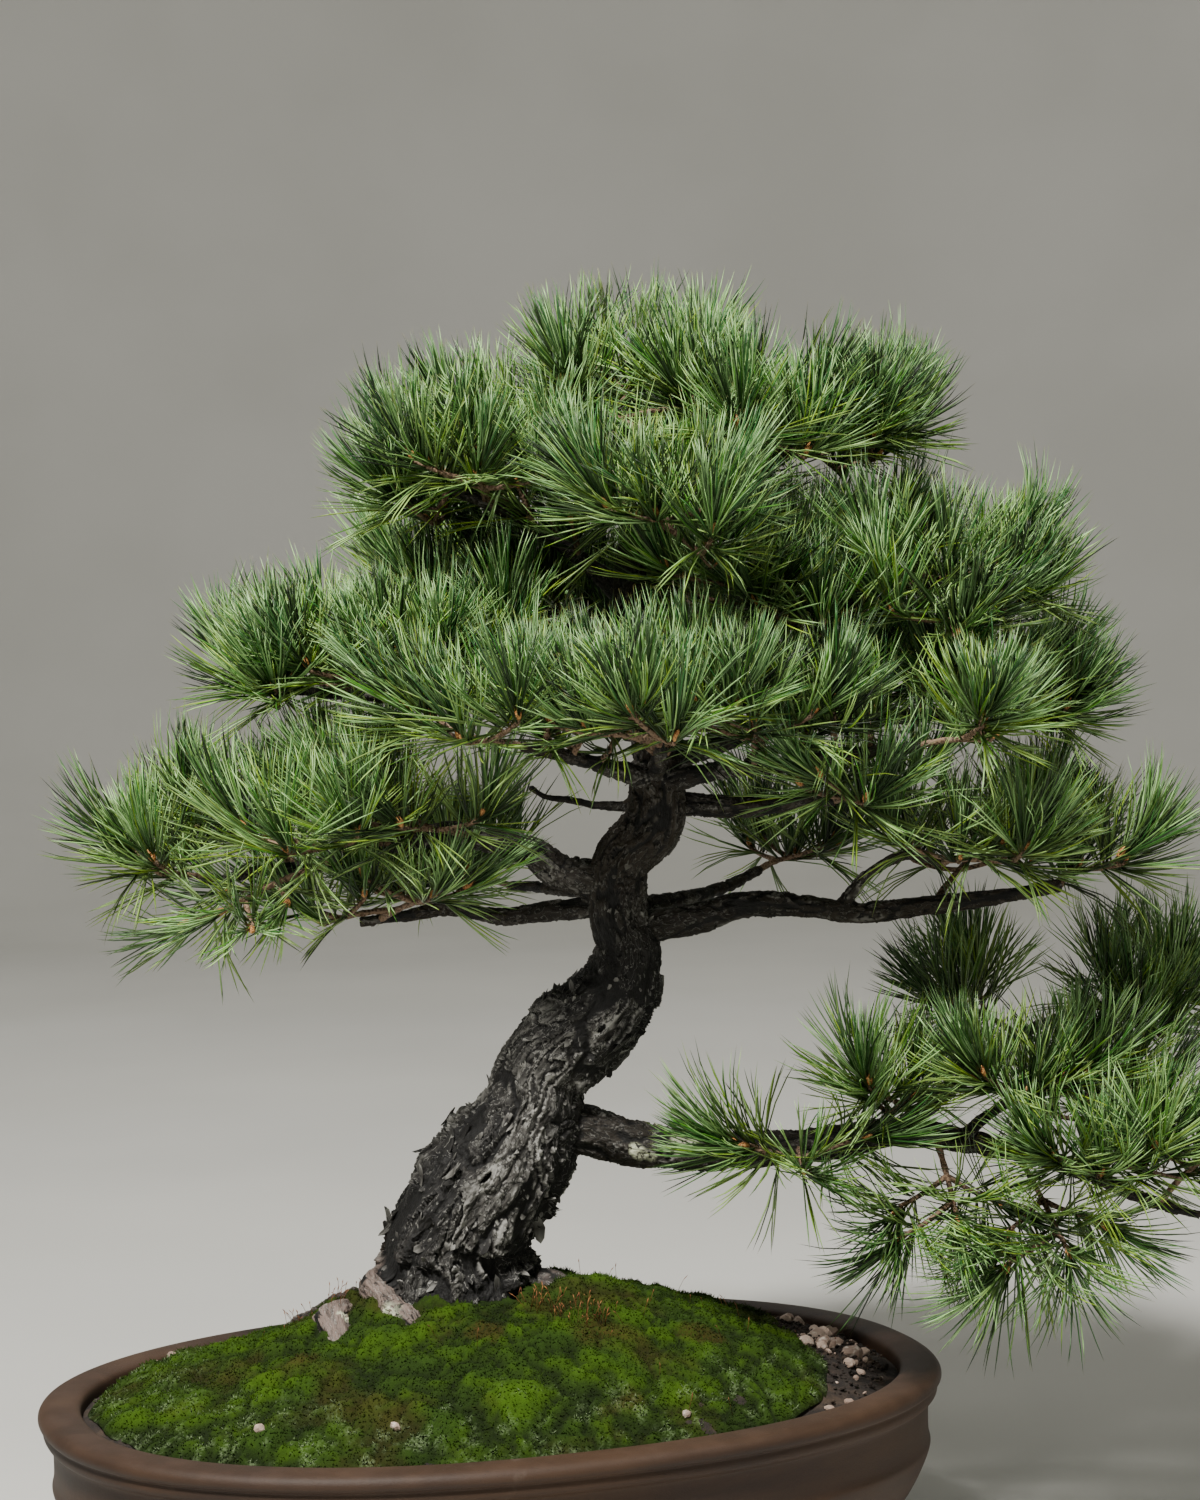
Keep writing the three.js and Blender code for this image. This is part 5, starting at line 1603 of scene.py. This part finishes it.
def along_branch(name, share):
    """A point at a share of the way along a branch, counting its points."""
    rows = TRUNK if name == "trunk" else BRANCHES[name][1]
    spot = share * (len(rows) - 1)
    i = min(len(rows) - 2, math.floor(spot))
    first = tree_point(rows[i])
    return first + (tree_point(rows[i + 1]) - first) * (spot - i)


def bend_point(twig, share):
    """A point at a share of the way along a bent twig."""
    base, middle, tip = twig
    return (1 - share) ** 2 * base + 2 * share * (1 - share) * middle + share ** 2 * tip


def plan_twig(base, tip, count, lift, first_number):
    """The line of a twig and its tufts: each with its shoot's start and end, its axis and its number."""
    run = tip - base
    level = np.array([run[0], run[1], 0.0])
    level = unit(level) if np.linalg.norm(level) >= 5 else np.array([1.0, 0, 0])
    across = np.cross(level, UP)
    bend = (base, (base + tip) / 2 + 4 * UP, tip)
    pairs = math.ceil((count - 1) / 2)
    tufts = []
    for i in range(count - 1):
        number = first_number + i
        hand = 1 if i % 2 == 0 else -1
        pair = i // 2
        share = (0.66 if pairs == 1 else 0.5 + 0.3 * pair) + 4 / np.linalg.norm(run)
        start = bend_point(bend, share)
        end = start + across * hand * (24 + 14 * draw(number, 1)) + level * (2 + 14 * draw(number, 2))
        end = end + UP * (4 + 12 * draw(number, 3)) * (-1 if lift < 0 else 1)
        axis = unit(UP * lift + level * 0.35 + across * hand * 0.45)
        tufts.append((start, end, axis, number))
    axis = unit(UP * lift + level * 0.6)
    tufts.append((bend_point(bend, 0.5), tip, axis, first_number + count - 1))
    return bend, tufts


def plan_sprays():
    """For each spray its twigs, in the same order and with the same numbers as the solids have."""
    number = 0
    plan = {}
    for name, (branch, share, lift, *rest) in SPRAYS.items():
        base = along_branch(branch, share)
        twigs = []
        for i in range(0, len(rest), 2):
            twigs.append(plan_twig(base, tree_point(rest[i]), rest[i + 1], lift, number))
            number += rest[i + 1]
            base = bend_point(twigs[0][0], 0.32 + 0.06 * i)
        plan[name] = twigs
    return plan


GOLDEN_ANGLE = 2.39996
TUFT_SEED = 1000
BUNDLE_NEEDLES = 5
FOOT_LOWEST = -17
FOOT_SPAN = 29
THIN_SPRAYS = {"left_hanging": 0.5, "low_right_under": 0.85, "low_right_drooping": 0.85, "left_low": 0.7}
TWIG_STEPS = 10
SHOOT_STEPS = 7
SHOOT_RADII = (1.7, 1.25)
STUB_RADII = (1.35, 1.35, 1.0)
BUD_LIFT = 6.2
LOW_SPRAY_WARMTH = 0.14


def tuft_needles(start, end, axis, number, bundles, reach):
    """The needles of a tuft in bundles of five: feet, ways, bends, lengths in mm, yellowness, lightness
    (painted light and shade).
    """
    rng = np.random.default_rng(TUFT_SEED + number)
    axis = unit(axis + 0.17 * rng.normal(size=3))
    side = unit(np.cross(axis, UP + 0.01))
    other = np.cross(axis, side)
    rank = (np.arange(bundles) + 0.5) / bundles
    turn = GOLDEN_ANGLE * np.arange(bundles) + 6.28 * draw(number, 4) + 0.4 * rng.normal(size=bundles)
    tilt = np.radians(5 + 72 * (1 - rank) ** 1.4 + 10 * rng.normal(size=bundles))
    radial = side * np.cos(turn)[:, None] + other * np.sin(turn)[:, None]
    bundle = unit(axis * np.cos(tilt)[:, None] + radial * np.sin(tilt)[:, None])
    incoming = unit(end - start)
    stand = FOOT_LOWEST + FOOT_SPAN * rank
    back = np.minimum(0, stand)[:, None]
    ahead = np.maximum(0, stand)[:, None] * 0.8
    foot = end + incoming * back + axis * ahead + radial * 1.1
    feet, ways, outward = [np.repeat(rows, BUNDLE_NEEDLES, axis=0) for rows in (foot, bundle, radial)]
    spread = rng.normal(size=ways.shape)
    spread = unit(spread - (spread * ways).sum(axis=1, keepdims=True) * ways)
    ways = unit(ways + spread * (0.03 + 0.11 * rng.random(len(ways)))[:, None])
    ranks = np.repeat(rank, BUNDLE_NEEDLES)
    lifting = 0.22 - 0.36 * smoothstep(0.22, 0.02, ranks)
    bends = 0.05 * outward + lifting[:, None] * UP + 0.08 * rng.normal(size=ways.shape)
    bends = bends + np.repeat(0.12 * rng.normal(size=bundle.shape), BUNDLE_NEEDLES, axis=0)
    own = NEEDLE_LENGTH * reach * (0.88 + 0.22 * draw(number, 7))
    lengths = own * np.repeat(0.84 + 0.26 * rng.random(bundles), BUNDLE_NEEDLES)
    lengths = lengths * (0.95 + 0.08 * rng.random(len(ways)))
    yellow = np.clip(0.9 - 1.0 * ranks + 0.25 * rng.normal(size=len(ways)), 0, 1)
    # Lightness, by needle, bundle and tuft: how much painted light or shade the material gives a needle.
    light = 0.5 * rng.random(len(ways)) + np.repeat(0.6 * rng.random(bundles), BUNDLE_NEEDLES)
    light = light + 0.3 * (draw(number, 6) - 0.5)
    tips = feet + ways * lengths[:, None]
    kept = tips[:, 2] > LOWEST_NEEDLE - 6
    return [rows[kept] for rows in (feet, ways, bends, lengths, yellow, np.clip(light, 0, 1))]


def twig_lines(twigs):
    """The lines and radii of a spray's twigs and side shoots, with a stub under each bud."""
    lines = []
    for bend, tufts in twigs:
        shares = np.linspace(0, 1, TWIG_STEPS)
        points = np.array([bend_point(bend, share) for share in shares])
        knots = 0.25 * np.sin(shares * 23 + tufts[0][3])
        lines.append((points, TWIG_RADIUS + (BUD_RADIUS - TWIG_RADIUS) * shares + knots))
        for start, end, axis, number in tufts:
            if number != tufts[-1][3]:
                shoot = (start, (start + end) / 2 - 2.5 * UP, end)
                points = np.array([bend_point(shoot, share) for share in np.linspace(0, 1, SHOOT_STEPS)])
                lines.append((points, np.linspace(*SHOOT_RADII, SHOOT_STEPS)))
            lines.append((np.array([end, end + 3 * axis, end + 6 * axis]), STUB_RADII))
    return lines


def turned_to(axis):
    """The turn that takes the Z axis to another one."""
    side = np.cross(axis, UP)
    side = unit(side) if np.linalg.norm(side) > 0.05 else np.array([1.0, 0, 0])
    return np.column_stack([side, np.cross(axis, side), axis])


def build_spray(name, twigs, patterns, settings, materials):
    """One spray: its twigs and side shoots, a bud on each, and the needles."""
    full = THIN_SPRAYS.get(name, 1.0)
    bundles = round(settings.bundles * full)
    tufts = [tuft for _, twig_tufts in twigs for tuft in twig_tufts]
    needles = [tuft_needles(*tuft, bundles, 0.7 + 0.3 * full) for tuft in tufts]
    feet, ways, bends, lengths, yellow, light = [np.concatenate(rows) for rows in zip(*needles)]
    blade, faces = patterns["needle"]
    count = len(feet)
    rolls = ANY_ROLL * np.random.default_rng(tufts[0][3]).random(count)
    widths = np.full(count, settings.width / MM / 2)
    points = grown_blades(patterns["needle"], feet, ways, bends, lengths, widths, rolls)
    green = new_piece("foliage_" + name, points, copied_faces(faces, len(blade), count))
    warmth = LOW_SPRAY_WARMTH if name.startswith(("low", "left")) else 0.0
    marks = np.column_stack([np.repeat(np.clip(yellow + warmth, 0, 1), len(blade)),
                             np.tile(blade[:, 2], count), np.repeat(light, len(blade))])
    mark_points(green, "needle_marks", marks)
    mark_waxy_sides(green, count, patterns["waxy"])
    bark = limb_tubes("twigs_" + name, twig_lines(twigs), 1)
    bud_points, bud_faces = patterns["bud"]
    bud_rows = [bud_points @ turned_to(axis).T + end + BUD_LIFT * axis for _, end, axis, _ in tufts]
    buds = new_piece("buds_" + name, np.vstack(bud_rows),
                     copied_faces(bud_faces, len(bud_points), len(bud_rows)))
    for piece, material in zip((green, bark, buds), materials):
        coat(piece, material)
    whole = join_pieces(green, [bark, buds])
    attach(whole, "root")
    if name in SPRAYS:
        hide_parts("spray_" + name)


def mark_waxy_sides(piece, count, waxy):
    """Two of a needle's three sides carry pale lines of wax."""
    attribute = piece.data.attributes.new("waxy_side", "FLOAT", "FACE")
    values = np.zeros(len(piece.data.polygons), np.float32)
    position = 0
    for flags in waxy:
        block = len(flags) * count
        values[position:position + block] = np.tile(flags, count)
        position += block
    attribute.data.foreach_set("value", values)


INNER_BRANCHES = ("upperLeft", "left", "upperRight", "crownRight", "right", "frontLeft", "frontMiddle",
                  "frontRight", "back", "backLeft", "backRight", "backUpper", "frontUpper")
INNER_SHARES = (0.34, 0.46, 0.58, 0.7, 0.82)
INNER_NUMBER = 500
INNER_RISE = 14
LOW_INNER_RISE = {"crownRight": -26}


def plan_inner_shoots():
    """Short leafy shoots along the upper branches, which fill the crown from within."""
    plan = {}
    number = INNER_NUMBER
    for branch in INNER_BRANCHES:
        twigs = []
        for i, share in enumerate(INNER_SHARES):
            base = along_branch(branch, share)
            run = along_branch(branch, share + 0.05) - base
            level = unit(np.array([run[0], run[1], 0.0]))
            side = np.cross(level, UP) * (1 if i % 2 else -1)
            tip = base + side * (12 + 14 * draw(number, 1)) + level * 8 * draw(number, 2)
            tip = tip + UP * (LOW_INNER_RISE.get(branch, INNER_RISE) + 16 * draw(number, 3))
            axis = unit(UP + 0.5 * side + 0.3 * level)
            middle = (base + tip) / 2 + 3 * side
            twigs.append(((base, middle, tip), [(middle, tip, axis, number)]))
            number += 1
        plan["inner_" + branch] = twigs
    return plan


def needle_patterns():
    """The needle, with its waxy faces, and the bud."""
    needle = blade_pattern("needle", 3, [0.62, 0.96, 1.0, 0.86], [0.16, 0.5, 0.8])
    points, faces = needle
    waxy = []
    for size in sorted({len(face) for face in faces}):
        flags = []
        for face in faces:
            if len(face) == size:
                middle = points[list(face)].mean(axis=0)
                flags.append(1.0 if math.atan2(middle[1], middle[0]) > -1.0 and middle[2] > 0 else 0.0)
        waxy.append(flags)
    clear_selection()
    bpy.ops.mesh.primitive_uv_sphere_add(segments=7, ring_count=6, radius=1)
    bud = bpy.context.object
    edit_all()
    bpy.ops.transform.resize(value=(2.0, 2.0, 4.4), center_override=(0, 0, 0))
    bpy.ops.object.mode_set(mode="OBJECT")
    rows, bud_faces = pattern_of(bud)
    point = smoothstep(-1, 4.4, rows[:, 2])
    rows[:, :2] *= (1.15 - 0.6 * point)[:, None]
    return {"needle": needle, "waxy": waxy, "bud": (rows, bud_faces)}


# ---------------------------------------------------------------- operators


class BONSAI_OT_pot(bpy.types.Operator):
    """Models the oval stoneware pot with its feet and drain holes"""

    bl_idname = "bonsai.pot"
    bl_label = "Stoneware pot"

    def execute(self, context):
        build_pot(context.scene.bonsai_pot)
        return {"FINISHED"}


class BONSAI_OT_screens(bpy.types.Operator):
    """Finishes the plastic screens over the drain holes"""

    bl_idname = "bonsai.screens"
    bl_label = "Drain screens"

    def execute(self, context):
        material = screen_material()
        for name in ("drain_screen_left", "drain_screen_right"):
            coat(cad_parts[name], material)
        return {"FINISHED"}


class BONSAI_OT_soil(bpy.types.Operator):
    """Models the soil, its crumbs and the grit on it"""

    bl_idname = "bonsai.soil"
    bl_label = "Soil and grit"

    def execute(self, context):
        build_soil(context.scene.bonsai_ground)
        build_grit(context.scene.bonsai_ground)
        return {"FINISHED"}


class BONSAI_OT_moss(bpy.types.Operator):
    """Models the moss with its cushions, tips and spore stalks"""

    bl_idname = "bonsai.moss"
    bl_label = "Moss"

    def execute(self, context):
        build_moss(context.scene.bonsai_ground, trunk_limbs())
        return {"FINISHED"}


class BONSAI_OT_tree(bpy.types.Operator):
    """Models the trunk, the roots and the branches with their bark"""

    bl_idname = "bonsai.tree"
    bl_label = "Trunk and branches"

    def execute(self, context):
        build_tree(context.scene.bonsai_bark)
        return {"FINISHED"}


class BONSAI_OT_sprays(bpy.types.Operator):
    """Models every spray of needles on its twigs"""

    bl_idname = "bonsai.sprays"
    bl_label = "Sprays of needles"

    def execute(self, context):
        settings = context.scene.bonsai_needles
        patterns = needle_patterns()
        materials = (needle_material(settings), twig_material(settings), bud_material(settings))
        for name, twigs in plan_sprays().items():
            build_spray(name, twigs, patterns, settings, materials)
        for name, twigs in plan_inner_shoots().items():
            build_spray(name, twigs, patterns, settings, materials)
        return {"FINISHED"}


class BONSAI_OT_studio(bpy.types.Operator):
    """Sets up the floor, the lights and the camera"""

    bl_idname = "bonsai.studio"
    bl_label = "Studio"

    def execute(self, context):
        settings = context.scene.bonsai_studio
        build_floor(settings)
        place_camera(context.scene)
        for name, spot, size, tint in LIGHTS:
            power = settings.key if name == "key_light" else settings.fill
            add_light(name, spot, size, power, tint)
        world = bpy.data.worlds.new("studio_air")
        world.use_nodes = True
        air = world.node_tree.nodes["Background"]
        air.inputs["Color"].default_value = STUDIO_AIR
        air.inputs["Strength"].default_value = settings.sky
        context.scene.world = world
        return {"FINISHED"}


# Each light: its name, place, side and tint.
LIGHTS = (
    ("key_light", (-1100, -1250, 2900), 400, (1.0, 0.97, 0.92)),
    ("fill_light", (1300, -1500, 2300), 1500, (0.9, 0.95, 1.0)),
    ("back_light", (500, 2300, 1900), 1500, (1.0, 1.0, 1.0)),
)
LIT_POINT = (70, 0, 400)
CAMERA_PLACE = (-526.41, -1696.29, 543.42)
CAMERA_RIGHT = Vector((0.94269, -0.33297, -0.02180))
CAMERA_ABOVE = Vector((0.03449, 0.03226, 0.99888))
CAMERA_LENS = 75.05
CAMERA_FILM = 36.0
FLOOR_SEGMENTS = 96
FLOOR_REACH = 3.8
WALL_CURVE = 2.0
WALL_STEPS = 8
WALL_HEIGHT = 1.5


def build_floor(settings):
    """A wide round floor that turns up into a low wall all round."""
    clear_selection()
    bpy.ops.mesh.primitive_circle_add(vertices=FLOOR_SEGMENTS, radius=FLOOR_REACH, fill_type="NGON")
    floor = bpy.context.object
    floor.name = "studio_floor"
    edit_all()
    bpy.ops.mesh.select_mode(type="EDGE")
    bpy.ops.mesh.select_all(action="DESELECT")
    bpy.ops.mesh.select_non_manifold()
    height = 0.0
    reach = FLOOR_REACH
    for step in range(1, WALL_STEPS + 1):
        turn = math.pi / 2 * step / WALL_STEPS
        rise = WALL_CURVE * (1 - math.cos(turn)) - height
        wider = FLOOR_REACH + WALL_CURVE * math.sin(turn)
        bpy.ops.mesh.extrude_region_move(TRANSFORM_OT_translate={"value": (0, 0, rise)})
        factor = wider / reach
        height += rise
        bpy.ops.transform.resize(value=(factor, factor, 1), center_override=(0, 0, height))
        reach = wider
    bpy.ops.mesh.extrude_region_move(TRANSFORM_OT_translate={"value": (0, 0, WALL_HEIGHT)})
    bpy.ops.object.mode_set(mode="OBJECT")
    smooth_faces(floor)
    coat(floor, floor_material(settings))


def place_camera(scene):
    """The camera stands to the left front of the pot, a little above the middle of the tree."""
    back = CAMERA_RIGHT.cross(CAMERA_ABOVE).normalized()
    camera_data = bpy.data.cameras.new("camera")
    camera_data.lens = CAMERA_LENS
    camera_data.sensor_width = CAMERA_FILM
    camera_data.clip_start = 0.05
    camera_data.clip_end = 60.0
    camera = bpy.data.objects.new("camera", camera_data)
    turn = Matrix((CAMERA_RIGHT, CAMERA_ABOVE, back)).transposed().to_4x4()
    camera.matrix_world = Matrix.Translation(placed(CAMERA_PLACE)) @ turn
    scene.collection.objects.link(camera)
    scene.camera = camera


def add_light(name, spot, size, power, tint):
    """A square light at a place in mm, turned towards the tree."""
    light = bpy.data.lights.new(name, "AREA")
    light.size = size * MM
    light.energy = power
    light.color = tint
    lamp = bpy.data.objects.new(name, light)
    place = Vector(placed(spot))
    target = Vector(placed(LIT_POINT))
    lamp.location = place
    lamp.rotation_euler = (target - place).to_track_quat("-Z", "Y").to_euler()
    bpy.context.scene.collection.objects.link(lamp)


# ---------------------------------------------------------------- the panel and the run


class BONSAI_PT_panel(bpy.types.Panel):
    """Lists the steps that build the bonsai"""

    bl_idname = "BONSAI_PT_panel"
    bl_label = "Bonsai pine"
    bl_space_type = "VIEW_3D"
    bl_region_type = "UI"
    bl_category = "Bonsai"

    def draw(self, context):
        for operator in OPERATORS:
            self.layout.operator(operator.bl_idname)
        for name, group in SETTINGS.items():
            box = self.layout.box()
            box.label(text=group.__name__.replace("Settings", ""))
            for key in group.__annotations__:
                box.prop(getattr(context.scene, name), key)


OPERATORS = (BONSAI_OT_pot, BONSAI_OT_screens, BONSAI_OT_soil, BONSAI_OT_moss, BONSAI_OT_tree,
             BONSAI_OT_sprays, BONSAI_OT_studio)
SETTINGS = {
    "bonsai_pot": PotSettings,
    "bonsai_ground": GroundSettings,
    "bonsai_bark": BarkSettings,
    "bonsai_needles": NeedleSettings,
    "bonsai_studio": StudioSettings,
}


def register():
    for name, group in SETTINGS.items():
        bpy.utils.register_class(group)
        setattr(bpy.types.Scene, name, PointerProperty(type=group))
    for operator in OPERATORS:
        bpy.utils.register_class(operator)
    bpy.utils.register_class(BONSAI_PT_panel)


def unregister():
    bpy.utils.unregister_class(BONSAI_PT_panel)
    for operator in reversed(OPERATORS):
        bpy.utils.unregister_class(operator)
    for name, group in SETTINGS.items():
        delattr(bpy.types.Scene, name)
        bpy.utils.unregister_class(group)


def main():
    register()
    bpy.ops.bonsai.pot()
    bpy.ops.bonsai.screens()
    bpy.ops.bonsai.soil()
    bpy.ops.bonsai.moss()
    bpy.ops.bonsai.tree()
    bpy.ops.bonsai.sprays()
    bpy.ops.bonsai.studio()


if __name__ == "__main__":
    main()
